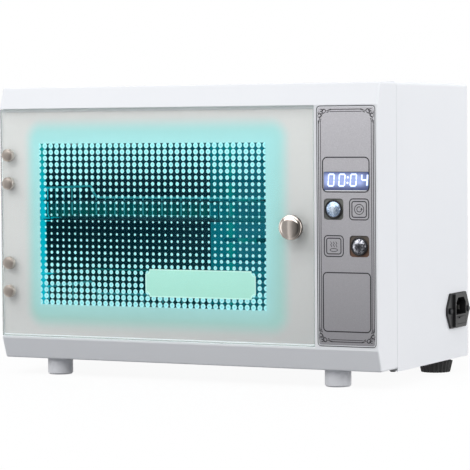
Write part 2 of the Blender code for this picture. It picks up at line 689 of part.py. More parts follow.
def make_casing():
    outer = [
        (0, CASING_BOTTOM),
        (CASE_WIDTH, CASING_BOTTOM),
        (CASE_WIDTH, CASING_TOP),
        (0, CASING_TOP),
    ]
    inner_x = (SHEET, CASE_WIDTH - SHEET)
    inner_top = CASING_TOP - SHEET
    shape = prism(rounded(outer, [0, 0, CASING_CORNER_RADIUS, CASING_CORNER_RADIUS]), "Y", CASING_FRONT, CASE_DEPTH)
    casing = solid("outer_casing", shape, "white_paint")
    inner = rectangle(inner_x, (CASING_BOTTOM - OVERCUT, inner_top))
    inner_radius = CASING_CORNER_RADIUS - SHEET
    hollow = rounded(inner, [0, 0, inner_radius, inner_radius])
    cut(casing, prism(hollow, "Y", CASING_FRONT - OVERCUT, CASE_DEPTH + OVERCUT))
    hole_width = INLET_BODY_WIDTH + 2 * SEAT_GAP
    hole_height = INLET_BODY_HEIGHT + 2 * SEAT_GAP
    hole = square_round((INLET_Y, INLET_Z), hole_width, hole_height, INLET_CORNER_RADIUS)
    cut(casing, prism(hole, "X", CASE_WIDTH - SHEET - OVERCUT, CASE_WIDTH + OVERCUT))
    for side in (-1, 1):
        place = (0, INLET_Y + side * INLET_SCREW_SPACING / 2, INLET_Z)
        radius = SCREW_SHANK_RADIUS + SCREW_HOLE_CLEARANCE
        cut(casing, rod(place, "X", radius, CASE_WIDTH - SHEET - OVERCUT, CASE_WIDTH + OVERCUT))
    return casing


def make_base():
    x = (SHEET + SEAT_GAP, CASE_WIDTH - SHEET - SEAT_GAP)
    y = (CASING_FRONT, REAR_PANEL_FRONT - SEAT_GAP)
    base = solid("base_plate", box(x, y, (BASE_BOTTOM, BASE_TOP)), "sheet_steel")
    hole = SCREW_SHANK_RADIUS + SCREW_HOLE_CLEARANCE
    for x_place in (BASE_SCREW_INSET_X, CASE_WIDTH - BASE_SCREW_INSET_X):
        cut(base, rod((x_place, BASE_SCREW_BACK, 0), "Z", hole, 0, BASE_TOP + OVERCUT))
    return base


def slots(width, height, pitch, rows, centre_x, centre_z, low, high):
    shapes = []
    for row in range(rows):
        z = centre_z + (row - (rows - 1) / 2) * pitch
        outline = square_round((centre_x, z), width, height, height / 2 * SLOT_ROUND_SHARE, 3)
        shapes.append(prism(outline, "Y", low, high))
    return several(shapes)


def make_rear_panel():
    x = (SHEET + SEAT_GAP, CASE_WIDTH - SHEET - SEAT_GAP)
    z = (BASE_BOTTOM, CASING_TOP - SHEET - SEAT_GAP)
    corner = CASING_CORNER_RADIUS - SHEET
    outline = rounded(rectangle(x, z), [0, 0, corner, corner])
    panel = solid("rear_panel", prism(outline, "Y", REAR_PANEL_FRONT, CASE_DEPTH), "white_paint")
    low = REAR_PANEL_FRONT - OVERCUT
    high = CASE_DEPTH + OVERCUT
    cut(panel, slots(FAN_VENT_WIDTH, VENT_SLOT_HEIGHT, VENT_PITCH, FAN_VENT_ROWS, FAN_CENTRE_X, FAN_Z, low, high))
    bay_z = BEZEL_BOTTOM + BAY_VENT_CENTRE_UP
    bay_x = CASE_WIDTH - BAY_VENT_FROM_RIGHT
    cut(panel, slots(BAY_VENT_WIDTH, VENT_SLOT_HEIGHT, VENT_PITCH, BAY_VENT_ROWS, bay_x, bay_z, low, high))
    hole = SCREW_SHANK_RADIUS + SCREW_HOLE_CLEARANCE
    for place in rear_screw_places():
        cut(panel, rod(place, "Y", hole, low, high))
    return panel


def rear_screw_places():
    xs = (REAR_SCREW_INSET, CASE_WIDTH - REAR_SCREW_INSET)
    zs = (BASE_BOTTOM + REAR_SCREW_INSET, CASING_TOP - REAR_SCREW_INSET)
    return [(x, 0, z) for x in xs for z in zs]


# Chamber

def make_liner():
    outer_x = (LINER_LEFT - LINER_SHEET, LINER_RIGHT + LINER_SHEET)
    outer_z = (LINER_BOTTOM - LINER_SHEET, LINER_TOP + LINER_SHEET)
    liner = solid("chamber_liner", box(outer_x, (LINER_FRONT, LINER_BACK + LINER_SHEET), outer_z), "liner_steel")
    inside = box((LINER_LEFT, LINER_RIGHT), (LINER_FRONT - OVERCUT, LINER_BACK), (LINER_BOTTOM, LINER_TOP))
    cut(liner, inside)
    half = AIR_HOLE_WIDTH / 2
    air_x = (FAN_CENTRE_X - half, FAN_CENTRE_X + half)
    air_y = (LINER_BACK - OVERCUT, LINER_BACK + LINER_SHEET + OVERCUT)
    cut(liner, box(air_x, air_y, (FAN_Z - half, FAN_Z + half)))
    return liner


def make_rail(name, wall, inward):
    """Three ledges on two posts, fixed to one side wall of the chamber; the middle one is spare"""
    front = LINER_FRONT + RAIL_FRONT_SETBACK
    back = LINER_BACK - RAIL_BACK_SETBACK
    wall_face = wall + inward * SEAT_GAP
    post_x = sorted((wall_face, wall_face + inward * RAIL_SHEET))
    ledge_x = sorted((wall_face, wall_face + inward * RAIL_LEDGE))
    low = BASKETS["lower"] - SEAT_GAP - RAIL_LEDGE_THICKNESS - RAIL_OVERLAP_UP
    high = BASKETS["upper"] + RAIL_OVERLAP_UP
    first = front + RAIL_POST_INSET
    second = back - RAIL_POST_INSET
    rail = solid(name, box(post_x, (first, first + RAIL_POST_WIDTH), (low, high)), "sheet_steel")
    fuse(rail, box(post_x, (second - RAIL_POST_WIDTH, second), (low, high)))
    for seat in (*BASKETS.values(), SPARE_LEDGE):
        top = seat - SEAT_GAP
        fuse(rail, box(ledge_x, (front, back), (top - RAIL_LEDGE_THICKNESS, top)))
    return rail


def make_basket(name, bottom):
    """An open tray of bars, with one row of openings in each wall; the front and back walls dip between the corners"""
    left = LINER_LEFT + SEAT_GAP + RAIL_SHEET + BASKET_SIDE_GAP
    right = LINER_RIGHT - SEAT_GAP - RAIL_SHEET - BASKET_SIDE_GAP
    back = BASKET_BACK
    top = bottom + BASKET_SIDE_HEIGHT
    end_top = bottom + BASKET_END_HEIGHT
    origin = (left, BASKET_FRONT, bottom)
    basket = solid(name, box((left, right), (BASKET_FRONT, back), (bottom, top)), "wire_steel", origin)
    bar = BASKET_BAR
    inner_x = (left + bar, right - bar)
    inner_y = (BASKET_FRONT + bar, back - bar)
    cut(basket, box(inner_x, inner_y, (bottom + bar, top + OVERCUT)))
    pitch_x = (inner_x[1] - inner_x[0] + bar) / BASKET_SLOTS_ACROSS
    pitch_y = (inner_y[1] - inner_y[0] + bar) / BASKET_SLOTS_DEEP
    columns = [(inner_x[0] + i * pitch_x, inner_x[0] + (i + 1) * pitch_x - bar) for i in range(BASKET_SLOTS_ACROSS)]
    rows = [(inner_y[0] + i * pitch_y, inner_y[0] + (i + 1) * pitch_y - bar) for i in range(BASKET_SLOTS_DEEP)]
    floor_cut = (bottom - OVERCUT, bottom + bar + OVERCUT / 2)
    cut(basket, several([box(column, row, floor_cut) for column in columns for row in rows]))
    side_z = (bottom + 2 * bar, top - BASKET_RIM)
    end_z = (bottom + 2 * bar, end_top - BASKET_RIM)
    front_wall = (BASKET_FRONT - OVERCUT, inner_y[0] + OVERCUT / 2)
    back_wall = (inner_y[1] - OVERCUT / 2, back + OVERCUT)
    dip_run = BASKET_CORNER_WIDTH + BASKET_DIP_RUN
    dip = [
        (left + dip_run, end_top),
        (right - dip_run, end_top),
        (right - BASKET_CORNER_WIDTH, top + OVERCUT),
        (left + BASKET_CORNER_WIDTH, top + OVERCUT),
    ]
    for wall in (front_wall, back_wall):
        cut(basket, prism(dip, "Y", *wall))
        cut(basket, several([box(column, wall, end_z) for column in columns]))
    left_wall = (left - OVERCUT, inner_x[0] + OVERCUT / 2)
    right_wall = (inner_x[1] - OVERCUT / 2, right + OVERCUT)
    for wall in (left_wall, right_wall):
        cut(basket, several([box(wall, row, side_z) for row in rows]))
    return basket


def make_lamp():
    half = LAMP_LENGTH / 2
    cap = half - LAMP_CAP_LENGTH
    profile = [
        (0, -half),
        (LAMP_CAP_RADIUS, -half),
        (LAMP_CAP_RADIUS, -cap),
        (LAMP_RADIUS, -cap),
        (LAMP_RADIUS, cap),
        (LAMP_CAP_RADIUS, cap),
        (LAMP_CAP_RADIUS, half),
        (0, half),
    ]
    solid("uv_lamp", turned(profile, (LAMP_X, LAMP_BEHIND_FRONT, LAMP_Z), "X", 20), "lamp_glass")
    top = LINER_TOP - SEAT_GAP
    side_y = (LAMP_BEHIND_FRONT - SOCKET_WIDTH / 2, LAMP_BEHIND_FRONT + SOCKET_WIDTH / 2)
    for name, side in (("lamp_socket_left", -1), ("lamp_socket_right", 1)):
        near = LAMP_X + side * (half + SEAT_GAP)
        far = near + side * SOCKET_LENGTH
        outline = rounded(rectangle(side_y, (top - SOCKET_HEIGHT, top)), [SOCKET_WIDTH / 3, SOCKET_WIDTH / 3, 0, 0])
        solid(name, prism(outline, "X", min(near, far), max(near, far)), "socket_white")
    steps = 12
    arc = []
    for radius, order in ((REFLECTOR_RADIUS, 1), (REFLECTOR_RADIUS - REFLECTOR_SHEET, -1)):
        for i in range(steps + 1):
            angle = order * (2 * i / steps - 1) * REFLECTOR_HALF_ANGLE
            middle_z = top - REFLECTOR_RADIUS
            arc.append((LAMP_BEHIND_FRONT + radius * sin(angle), middle_z + radius * cos(angle)))
    half_reflector = half - REFLECTOR_END_GAP
    solid("lamp_reflector", prism(arc, "X", LAMP_X - half_reflector, LAMP_X + half_reflector), "liner_steel")


# Drying air

def make_air_path():
    cover_x = (FAN_CENTRE_X - DUCT_COVER_WIDTH / 2, FAN_CENTRE_X + DUCT_COVER_WIDTH / 2)
    cover_z = (LINER_BOTTOM + DUCT_COVER_MARGIN, LINER_TOP - DUCT_COVER_MARGIN)
    cover_back = LINER_BACK - SEAT_GAP
    cover_front = DUCT_COVER_FRONT
    outline = rounded(rectangle(cover_x, cover_z), POCKET_CORNER_RADIUS)
    cover = solid("duct_cover", prism(outline, "Y", cover_front, cover_back), "sheet_steel")
    slot_width = DUCT_COVER_WIDTH - 2 * DUCT_SLOT_MARGIN
    pitch = (cover_z[1] - cover_z[0] - 2 * DUCT_SLOT_MARGIN) / (DUCT_COVER_SLOTS - 1)
    middle_z = (cover_z[0] + cover_z[1]) / 2
    low = cover_front - OVERCUT
    high = cover_back + OVERCUT
    cut(cover, slots(slot_width, DUCT_SLOT_HEIGHT, pitch, DUCT_COVER_SLOTS, FAN_CENTRE_X, middle_z, low, high))
    duct_outline = square_round((FAN_CENTRE_X, FAN_Z), FAN_SIZE, FAN_SIZE, DUCT_FILLET)
    duct = solid("air_duct", prism(duct_outline, "Y", DUCT_FRONT, DUCT_BACK), "sheet_steel")
    bore = FAN_SIZE - 2 * DUCT_WALL
    bore_outline = square_round((FAN_CENTRE_X, FAN_Z), bore, bore, HEATER_FILLET)
    cut(duct, prism(bore_outline, "Y", DUCT_FRONT - OVERCUT, DUCT_BACK + OVERCUT))
    heater_size = bore - 2 * SEAT_GAP
    heater_back = DUCT_BACK - HEATER_FROM_FAN
    heater_front = heater_back - HEATER_DEPTH
    heater_outline = square_round((FAN_CENTRE_X, FAN_Z), heater_size, heater_size, HEATER_FILLET)
    heater = solid("heater_element", prism(heater_outline, "Y", heater_front, heater_back), "heater_grey")
    low_x = FAN_CENTRE_X - heater_size / 2 + HEATER_BAR
    low_z = FAN_Z - heater_size / 2 + HEATER_BAR
    step_x = (heater_size - HEATER_BAR) / HEATER_COLUMNS
    step_z = (heater_size - HEATER_BAR) / HEATER_ROWS
    openings = []
    for column in range(HEATER_COLUMNS):
        for row in range(HEATER_ROWS):
            x = (low_x + column * step_x, low_x + (column + 1) * step_x - HEATER_BAR)
            z = (low_z + row * step_z, low_z + (row + 1) * step_z - HEATER_BAR)
            openings.append(box(x, (heater_front - OVERCUT, heater_back + OVERCUT), z))
    cut(heater, several(openings))


def make_fan():
    outline = square_round((FAN_CENTRE_X, FAN_Z), FAN_SIZE, FAN_SIZE, FAN_FILLET)
    frame = solid("fan_frame", prism(outline, "Y", FAN_FRONT, FAN_BACK), "black_plastic")
    cut(frame, rod((FAN_CENTRE_X, 0, FAN_Z), "Y", FAN_BORE_RADIUS, FAN_FRONT - OVERCUT, FAN_BACK + OVERCUT, 40))
    strut_front = FAN_BACK - FAN_STRUT
    reach = FAN_BORE_RADIUS + FAN_STRUT / 2
    half = FAN_STRUT / 2
    across = (FAN_CENTRE_X - reach, FAN_CENTRE_X + reach)
    upright = (FAN_Z - reach, FAN_Z + reach)
    fuse(frame, box(across, (strut_front, FAN_BACK - SEAT_GAP), (FAN_Z - half, FAN_Z + half)))
    fuse(frame, box((FAN_CENTRE_X - half, FAN_CENTRE_X + half), (strut_front, FAN_BACK - SEAT_GAP), upright))
    rotor_back = strut_front - SEAT_GAP
    rotor_front = rotor_back - ROTOR_HEIGHT
    axle_tip = rotor_front - SEAT_GAP
    middle = (FAN_CENTRE_X, 0, FAN_Z)
    fuse(frame, rod(middle, "Y", FAN_MOUNT_RADIUS, strut_front, FAN_BACK - SEAT_GAP / 2, 24))
    fuse(frame, rod(middle, "Y", FAN_AXLE_RADIUS, axle_tip, FAN_BACK - SEAT_GAP, 12))
    bore = FAN_AXLE_RADIUS + FAN_AXLE_CLEARANCE
    ring = [
        (bore, rotor_front),
        (bore, rotor_back),
        (ROTOR_HUB_RADIUS, rotor_back),
        (ROTOR_HUB_RADIUS, rotor_front),
    ]
    centre = (FAN_CENTRE_X, 0, FAN_Z)
    rotor = solid("fan_rotor", turned(ring, centre, "Y", 24), "black_plastic", (FAN_CENTRE_X, rotor_front, FAN_Z))
    tip = FAN_BORE_RADIUS - ROTOR_TIP_GAP
    for number in range(ROTOR_BLADES):
        root = ROTOR_HUB_RADIUS - BLADE_THICKNESS
        width = (ROTOR_HEIGHT - BLADE_THICKNESS) / cos(BLADE_PITCH) * BLADE_WIDTH_SHARE
        blade = box((root, tip), (-width / 2, width / 2), (-BLADE_THICKNESS / 2, BLADE_THICKNESS / 2))
        bmesh.ops.rotate(blade, verts=blade.verts, matrix=Matrix.Rotation(BLADE_PITCH, 3, "X"))
        turn = Matrix.Rotation(2 * pi * number / ROTOR_BLADES, 3, "Y")
        bmesh.ops.rotate(blade, verts=blade.verts, matrix=turn)
        blade_y = (rotor_front + rotor_back) / 2
        bmesh.ops.translate(blade, verts=blade.verts, vec=Vector((FAN_CENTRE_X, blade_y, FAN_Z)))
        fuse(rotor, blade)


# Door

def make_door(door_axis):
    door_x = (DOOR_SIDE_GAP, DOOR_RIGHT)
    glass_shape = box(door_x, (0, GLASS_THICKNESS), (DOOR_BOTTOM, DOOR_TOP))
    bmesh.ops.bevel(
        glass_shape,
        geom=glass_shape.edges[:],
        offset=GLASS_EDGE_BEVEL,
        segments=1,
        profile=BEVEL_SHARE,
        affect="EDGES",
    )
    origin = door_axis.location
    glass = solid("door_glass", glass_shape, "door_glass", origin, door_axis)
    ends = (-OVERCUT, GLASS_THICKNESS + OVERCUT)
    cut(glass, rod((KNOB_X, 0, KNOB_Z), "Y", KNOB_STUD_RADIUS + STUD_CLEARANCE, *ends))
    number = 0
    for hinge, height in HINGES.items():
        for side in (1, -1):
            number += 1
            place = (CAP_FROM_LEFT, 0, height + side * CAP_SPACING / 2)
            cut(glass, rod(place, "Y", CAP_STUD_RADIUS + STUD_CLEARANCE, *ends))
            make_cap(f"hinge_cap_{number}", place, door_axis)
        make_leaf(f"hinge_leaf_{hinge}", height, door_axis)
    make_knob(door_axis)
    strike_front = GLASS_THICKNESS + SEAT_GAP
    strike_z = (KNOB_Z - CATCH_HEIGHT / 2 + SEAT_GAP, KNOB_Z + CATCH_HEIGHT / 2 - SEAT_GAP)
    strike_x = (CATCH_LEFT + SEAT_GAP, CATCH_LEFT + CATCH_WIDTH - SEAT_GAP)
    strike = box(strike_x, (strike_front, strike_front + STRIKE_THICKNESS), strike_z)
    solid("door_strike", strike, "sheet_steel", origin, door_axis)


def make_cap(name, place, door_axis):
    face = -SEAT_GAP
    front = -CAP_PROUD
    edge = CAP_EDGE_RADIUS
    profile = [(0, GLASS_THICKNESS), (CAP_STUD_RADIUS, GLASS_THICKNESS), (CAP_STUD_RADIUS, face), (CAP_RADIUS, face)]
    for step in range(4):
        angle = pi / 2 * step / 3
        radius = CAP_RADIUS - edge + edge * cos(angle)
        profile.append((radius, front + edge - edge * sin(angle)))
    profile.append((0, front))
    solid(name, turned(profile, place, "Y", 24), "polished_steel", door_axis.location, door_axis)


def make_leaf(name, height, door_axis):
    """The moving half of a hinge: a leaf behind the glass, with a narrower neck to the knuckle round the pin"""
    left = PIN_FROM_LEFT - KNUCKLE_RADIUS * LEAF_REACH_SHARE
    right = MOUTH_LEFT - SEAT_GAP
    neck_end = BRACKET_LEFT
    leaf_z = (height - LEAF_HEIGHT / 2, height + LEAF_HEIGHT / 2)
    knuckle_z = (height - KNUCKLE_LENGTH / 2, height + KNUCKLE_LENGTH / 2)
    outline = [
        (left, knuckle_z[0]),
        (neck_end, knuckle_z[0]),
        (neck_end, leaf_z[0]),
        (right, leaf_z[0]),
        (right, leaf_z[1]),
        (neck_end, leaf_z[1]),
        (neck_end, knuckle_z[1]),
        (left, knuckle_z[1]),
    ]
    plate = prism(outline, "Y", LEAF_FRONT, LEAF_BACK)
    leaf = solid(name, plate, "polished_steel", door_axis.location, door_axis)
    knuckle = tongue((PIN_FROM_LEFT, PIN_BEHIND_FRONT), KNUCKLE_RADIUS, LEAF_BACK - LEAF_THICKNESS / 2, "v")
    fuse(leaf, prism(knuckle, "Z", *knuckle_z))
    hole = PIN_RADIUS + PIN_CLEARANCE
    hole_z = (knuckle_z[0] - OVERCUT, knuckle_z[1] + OVERCUT)
    cut(leaf, rod((PIN_FROM_LEFT, PIN_BEHIND_FRONT, 0), "Z", hole, *hole_z))


def make_knob(door_axis):
    head_back = -KNOB_PROUD + KNOB_HEAD_LENGTH
    profile = [
        (0, GLASS_THICKNESS + KNOB_NUT_THICKNESS),
        (KNOB_STUD_RADIUS, GLASS_THICKNESS + KNOB_NUT_THICKNESS),
        (KNOB_STUD_RADIUS, -SEAT_GAP),
        (KNOB_FLANGE_RADIUS, -SEAT_GAP),
        (KNOB_FLANGE_RADIUS, -KNOB_FLANGE_THICKNESS),
        (KNOB_NECK_RADIUS, -KNOB_FLANGE_THICKNESS * KNOB_FLARE_SHARE),
        (KNOB_NECK_RADIUS, head_back + KNOB_RIM / 2),
        (KNOB_RADIUS - KNOB_RIM / 2, head_back),
        (KNOB_RADIUS, head_back - KNOB_RIM / 3),
        (KNOB_RADIUS, head_back - KNOB_RIM),
        (KNOB_RADIUS - KNOB_RIM / 4, head_back - KNOB_RIM * KNOB_FACE_SHARE),
        (KNOB_FACE_RADIUS, -KNOB_PROUD),
        (0, -KNOB_PROUD),
    ]
    place = (KNOB_X, 0, KNOB_Z)
    solid("door_knob", turned(profile, place, "Y", ROUND), "polished_steel", door_axis.location, door_axis)
    across = KNOB_NUT_ACROSS / sqrt(3)
    bore = KNOB_STUD_RADIUS + PIN_CLEARANCE
    front = GLASS_THICKNESS + SEAT_GAP
    nut = solid(
        "knob_nut",
        prism(circle((KNOB_X, KNOB_Z), across, 6), "Y", front, front + KNOB_NUT_THICKNESS),
        "polished_steel",
        door_axis.location,
        door_axis,
    )
    cut(nut, rod(place, "Y", bore, front - OVERCUT, front + KNOB_NUT_THICKNESS + OVERCUT))


def make_hinge_bracket(name, height):
    """The fixed half of a hinge: a plate with a foot behind the bezel's web and an ear at each end of the knuckle"""
    left = BRACKET_LEFT
    right = left + BRACKET_SHEET
    front = WEB_BACK + SEAT_GAP
    bracket_z = (height - BRACKET_HEIGHT / 2, height + BRACKET_HEIGHT / 2)
    bracket = solid(name, box((left, right), (front, front + BRACKET_DEPTH), bracket_z), "sheet_steel")
    foot_right = LINER_LEFT - LINER_SHEET - BRACKET_FOOT_GAP
    fuse(bracket, box((left, foot_right), (front, front + BRACKET_SHEET), bracket_z))
    for side in (-1, 1):
        near = height + side * (KNUCKLE_LENGTH / 2 + HINGE_END_GAP)
        far = near + side * HINGE_EAR_LENGTH
        ear_z = (min(near, far), max(near, far))
        ear = tongue((PIN_FROM_LEFT, PIN_BEHIND_FRONT), KNUCKLE_RADIUS, left + BRACKET_SHEET / 2, "u")
        fuse(bracket, prism(ear, "Z", *ear_z))
        hole_z = (ear_z[0] - OVERCUT, ear_z[1] + OVERCUT)
        cut(bracket, rod((PIN_FROM_LEFT, PIN_BEHIND_FRONT, 0), "Z", PIN_RADIUS + PIN_CLEARANCE, *hole_z))
    end = KNUCKLE_LENGTH / 2 + HINGE_END_GAP + HINGE_EAR_LENGTH
    pin = rod((PIN_FROM_LEFT, PIN_BEHIND_FRONT, 0), "Z", PIN_RADIUS, height - end, height + end)
    solid(name.replace("bracket", "pin"), pin, "polished_steel")


def make_catch():
    strike_back = GLASS_THICKNESS + SEAT_GAP + STRIKE_THICKNESS
    front = strike_back + SEAT_GAP
    back = front + CATCH_DEPTH
    catch_x = (CATCH_LEFT, CATCH_LEFT + CATCH_WIDTH)
    catch_z = (KNOB_Z - CATCH_HEIGHT / 2, KNOB_Z + CATCH_HEIGHT / 2)
    magnet = solid("catch_magnet", box(catch_x, (front, back), catch_z), "magnet_brown")
    flange_front = WEB_BACK + SEAT_GAP
    flange_z = (catch_z[0] - CATCH_FLANGE, catch_z[1] + CATCH_FLANGE)
    fuse(magnet, box(catch_x, (flange_front, flange_front + CATCH_FLANGE_THICKNESS), flange_z))
    switch_low = flange_z[1] + DOOR_SWITCH_FROM_CATCH
    switch_z = (switch_low, switch_low + DOOR_SWITCH_HEIGHT)
    switch_y = (flange_front, flange_front + DOOR_SWITCH_DEPTH)
    outline = rounded(rectangle(catch_x, switch_z), POCKET_CORNER_RADIUS / 2)
    solid("door_switch", prism(outline, "Y", *switch_y), "socket_white")


# Controls

def key_centre(column, row):
    return KEY_LEFT_X + column * KEY_PITCH_X, KEY_LOWER_Z + row * KEY_PITCH_Z


def make_controls():
    plate_x = (PLATE_LEFT, PLATE_LEFT + PLATE_WIDTH)
    outline = rounded(rectangle(plate_x, (PLATE_BOTTOM, PLATE_TOP)), PLATE_CORNER_RADIUS)
    plate = solid("control_plate", prism(outline, "Y", PLATE_SETBACK, PLATE_BACK), "panel_silver")
    through = (PLATE_SETBACK - OVERCUT, PLATE_BACK + OVERCUT)
    window = (PANEL_MIDDLE_X, WINDOW_Z)
    hole_size = (WINDOW_WIDTH + 2 * KEY_GAP, WINDOW_HEIGHT + 2 * KEY_GAP)
    cut(plate, prism(square_round(window, *hole_size, WINDOW_CORNER_RADIUS), "Y", *through))
    for column, row, style in KEYS.values():
        hole = square_round(key_centre(column, row), KEY_HOLE, KEY_HOLE, KEY_CORNER_RADIUS)
        cut(plate, prism(hole, "Y", *through))
    lens_outline = square_round(window, WINDOW_WIDTH, WINDOW_HEIGHT, WINDOW_CORNER_RADIUS)
    lens_back = PLATE_SETBACK + LENS_THICKNESS
    solid("display_lens", prism(lens_outline, "Y", PLATE_SETBACK, lens_back), "display_lens")
    board_z = (WEB_HOLE_BOTTOM - BOARD_MARGIN, WEB_HOLE_TOP + BOARD_MARGIN)
    board_back = BOARD_FRONT + BOARD_THICKNESS
    board = solid(
        "control_board", box((WEB_HOLE_LEFT, WEB_HOLE_RIGHT), (BOARD_FRONT, board_back), board_z), "board_green"
    )
    module_size = (WINDOW_WIDTH - 2 * DISPLAY_RIM, WINDOW_HEIGHT - 2 * DISPLAY_RIM)
    module = square_round(window, *module_size, WINDOW_CORNER_RADIUS)
    module_y = (lens_back + SEAT_GAP, BOARD_FRONT - SEAT_GAP)
    solid("display_module", prism(module, "Y", *module_y), "black_plastic")
    half = SWITCH_SIZE / 2
    for column, row, style in KEYS.values():
        x, z = key_centre(column, row)
        switch_y = (BOARD_FRONT - SWITCH_HEIGHT, BOARD_FRONT + BOARD_THICKNESS / 2)
        fuse(board, box((x - half, x + half), switch_y, (z - half, z + half)))


def make_key(name, column, row, style):
    """A flat key fills its hole; a domed one stands in it with its square base behind the plate"""
    x, z = key_centre(column, row)
    flange_front = PLATE_BACK + SEAT_GAP
    flange_back = flange_front + KEY_FLANGE_THICKNESS
    flange = KEY_HOLE + 2 * KEY_FLANGE_LIP
    origin = (x, flange_back, z)
    outline = square_round((x, z), flange, flange, KEY_CORNER_RADIUS + KEY_FLANGE_LIP)
    finish = "panel_silver" if style == "flat" else "polished_steel"
    key = solid(name, prism(outline, "Y", flange_front, flange_back), finish, origin)
    inside_flange = flange_front + KEY_FLANGE_THICKNESS / 2
    if style == "flat":
        face = KEY_HOLE - 2 * KEY_GAP
        cap = square_round((x, z), face, face, KEY_CORNER_RADIUS - KEY_GAP)
        fuse(key, prism(cap, "Y", PLATE_SETBACK, inside_flange))
    else:
        crown = PLATE_SETBACK - (KEY_DOME_DEPTH - PLATE_THICKNESS) / 2
        profile = [(0, inside_flange), (KEY_DOME_RADIUS, inside_flange)]
        for step in range(6):
            angle = pi / 2 * step / 6
            reach = KEY_DOME_RADIUS * cos(angle)
            profile.append((reach, flange_front + (crown - flange_front) * sin(angle)))
        profile.append((0, crown))
        fuse(key, turned(profile, (x, 0, z), "Y", 24))
    tip = BOARD_FRONT - SWITCH_HEIGHT - KEY_TRAVEL - SEAT_GAP
    fuse(key, rod((x, 0, z), "Y", PLUNGER_RADIUS, inside_flange, tip))


def make_ballast():
    right = CASE_WIDTH - BALLAST_FROM_RIGHT
    back = INLET_Y - INLET_BODY_WIDTH / 2 - BALLAST_FROM_INLET
    x = (right - BALLAST_WIDTH, right)
    y = (back - BALLAST_DEPTH, back)
    low = BASE_TOP + SEAT_GAP
    shape = prism(rounded(rectangle(x, (low, low + BALLAST_HEIGHT)), [0, 0, BALLAST_EDGE, BALLAST_EDGE]), "Y", *y)
    solid("ballast", shape, "socket_white")


# Mains inlet

def make_inlet():
    half = INLET_FLANGE_HALF_WIDTH
    shoulder = INLET_FLANGE_SHOULDER
    tall = INLET_FLANGE_HEIGHT / 2
    tip = INLET_FLANGE_TIP / 2
    corners = [
        (INLET_Y - half, INLET_Z - tip),
        (INLET_Y - shoulder, INLET_Z - tall),
        (INLET_Y + shoulder, INLET_Z - tall),
        (INLET_Y + half, INLET_Z - tip),
        (INLET_Y + half, INLET_Z + tip),
        (INLET_Y + shoulder, INLET_Z + tall),
        (INLET_Y - shoulder, INLET_Z + tall),
        (INLET_Y - half, INLET_Z + tip),
    ]
    seat = CASE_WIDTH + SEAT_GAP
    flange = prism(rounded(corners, INLET_CORNER_RADIUS, 3), "X", seat, INLET_FACE)
    inlet = solid("inlet_body", flange, "black_plastic")
    middle = (INLET_Y, INLET_Z)
    raised = square_round(middle, INLET_RAISED_WIDTH, INLET_RAISED_HEIGHT, INLET_CORNER_RADIUS / 2)
    fuse(inlet, prism(raised, "X", seat + INLET_FLANGE_THICKNESS / 2, INLET_FRONT))
    body_back = CASE_WIDTH - INLET_BODY_DEPTH
    body = square_round(middle, INLET_BODY_WIDTH, INLET_BODY_HEIGHT, INLET_CORNER_RADIUS)
    fuse(inlet, prism(body, "X", body_back, seat + INLET_FLANGE_THICKNESS / 2))
    socket_z = SOCKET_Z
    half_y = SOCKET_OPENING_WIDTH / 2
    half_z = SOCKET_OPENING_HEIGHT / 2
    chamfer = SOCKET_OPENING_CHAMFER
    opening = [
        (INLET_Y - half_y, socket_z - half_z),
        (INLET_Y + half_y, socket_z - half_z),
        (INLET_Y + half_y, socket_z + half_z - chamfer),
        (INLET_Y + half_y - chamfer, socket_z + half_z),
        (INLET_Y - half_y + chamfer, socket_z + half_z),
        (INLET_Y - half_y, socket_z + half_z - chamfer),
    ]
    socket_floor = INLET_FRONT - SOCKET_OPENING_DEPTH
    cut(inlet, prism(opening, "X", socket_floor, INLET_FRONT + OVERCUT))
    drawer_z = DRAWER_Z
    pocket = rectangle(
        (INLET_Y - DRAWER_WIDTH / 2 - DRAWER_GAP, INLET_Y + DRAWER_WIDTH / 2 + DRAWER_GAP),
        (drawer_z - DRAWER_HEIGHT / 2 - DRAWER_GAP, drawer_z + DRAWER_HEIGHT / 2 + DRAWER_GAP),
    )
    cut(inlet, prism(pocket, "X", INLET_FRONT - DRAWER_DEPTH - DRAWER_GAP, INLET_FRONT + OVERCUT))
    for side in (-1, 1):
        place = (0, INLET_Y + side * INLET_SCREW_SPACING / 2, INLET_Z)
        hole = SCREW_SHANK_RADIUS + SCREW_HOLE_CLEARANCE
        cut(inlet, rod(place, "X", hole, seat - OVERCUT, INLET_FACE + OVERCUT))
    pin_floor = socket_floor + SEAT_GAP
    pins = {
        "inlet_pin_live": (-PIN_SPACING / 2, -PIN_OFFSET),
        "inlet_pin_earth": (0, PIN_OFFSET),
        "inlet_pin_neutral": (PIN_SPACING / 2, -PIN_OFFSET),
    }
    for name, (aside, up) in pins.items():
        y = (INLET_Y + aside - PIN_BLADE / 2, INLET_Y + aside + PIN_BLADE / 2)
        z = (socket_z + up - PIN_WIDTH / 2, socket_z + up + PIN_WIDTH / 2)
        solid(name, box((pin_floor, pin_floor + PIN_LENGTH), y, z), "brass")
    drawer_y = (INLET_Y - DRAWER_WIDTH / 2, INLET_Y + DRAWER_WIDTH / 2)
    drawer_height = (drawer_z - DRAWER_HEIGHT / 2, drawer_z + DRAWER_HEIGHT / 2)
    drawer_x = (INLET_FRONT - DRAWER_DEPTH, INLET_FRONT)
    origin = (INLET_FRONT, INLET_Y, drawer_z)
    drawer = solid("fuse_drawer", box(drawer_x, drawer_y, drawer_height), "black_plastic", origin)
    lip_y = (INLET_Y - DRAWER_WIDTH / 4, INLET_Y + DRAWER_WIDTH / 4)
    lip_z = (drawer_z + DRAWER_HEIGHT / 4, drawer_height[1] - DRAWER_GAP)
    fuse(drawer, box((INLET_FRONT - DRAWER_LIP_HEIGHT, INLET_FRONT + DRAWER_LIP_HEIGHT), lip_y, lip_z))


# Fasteners and feet

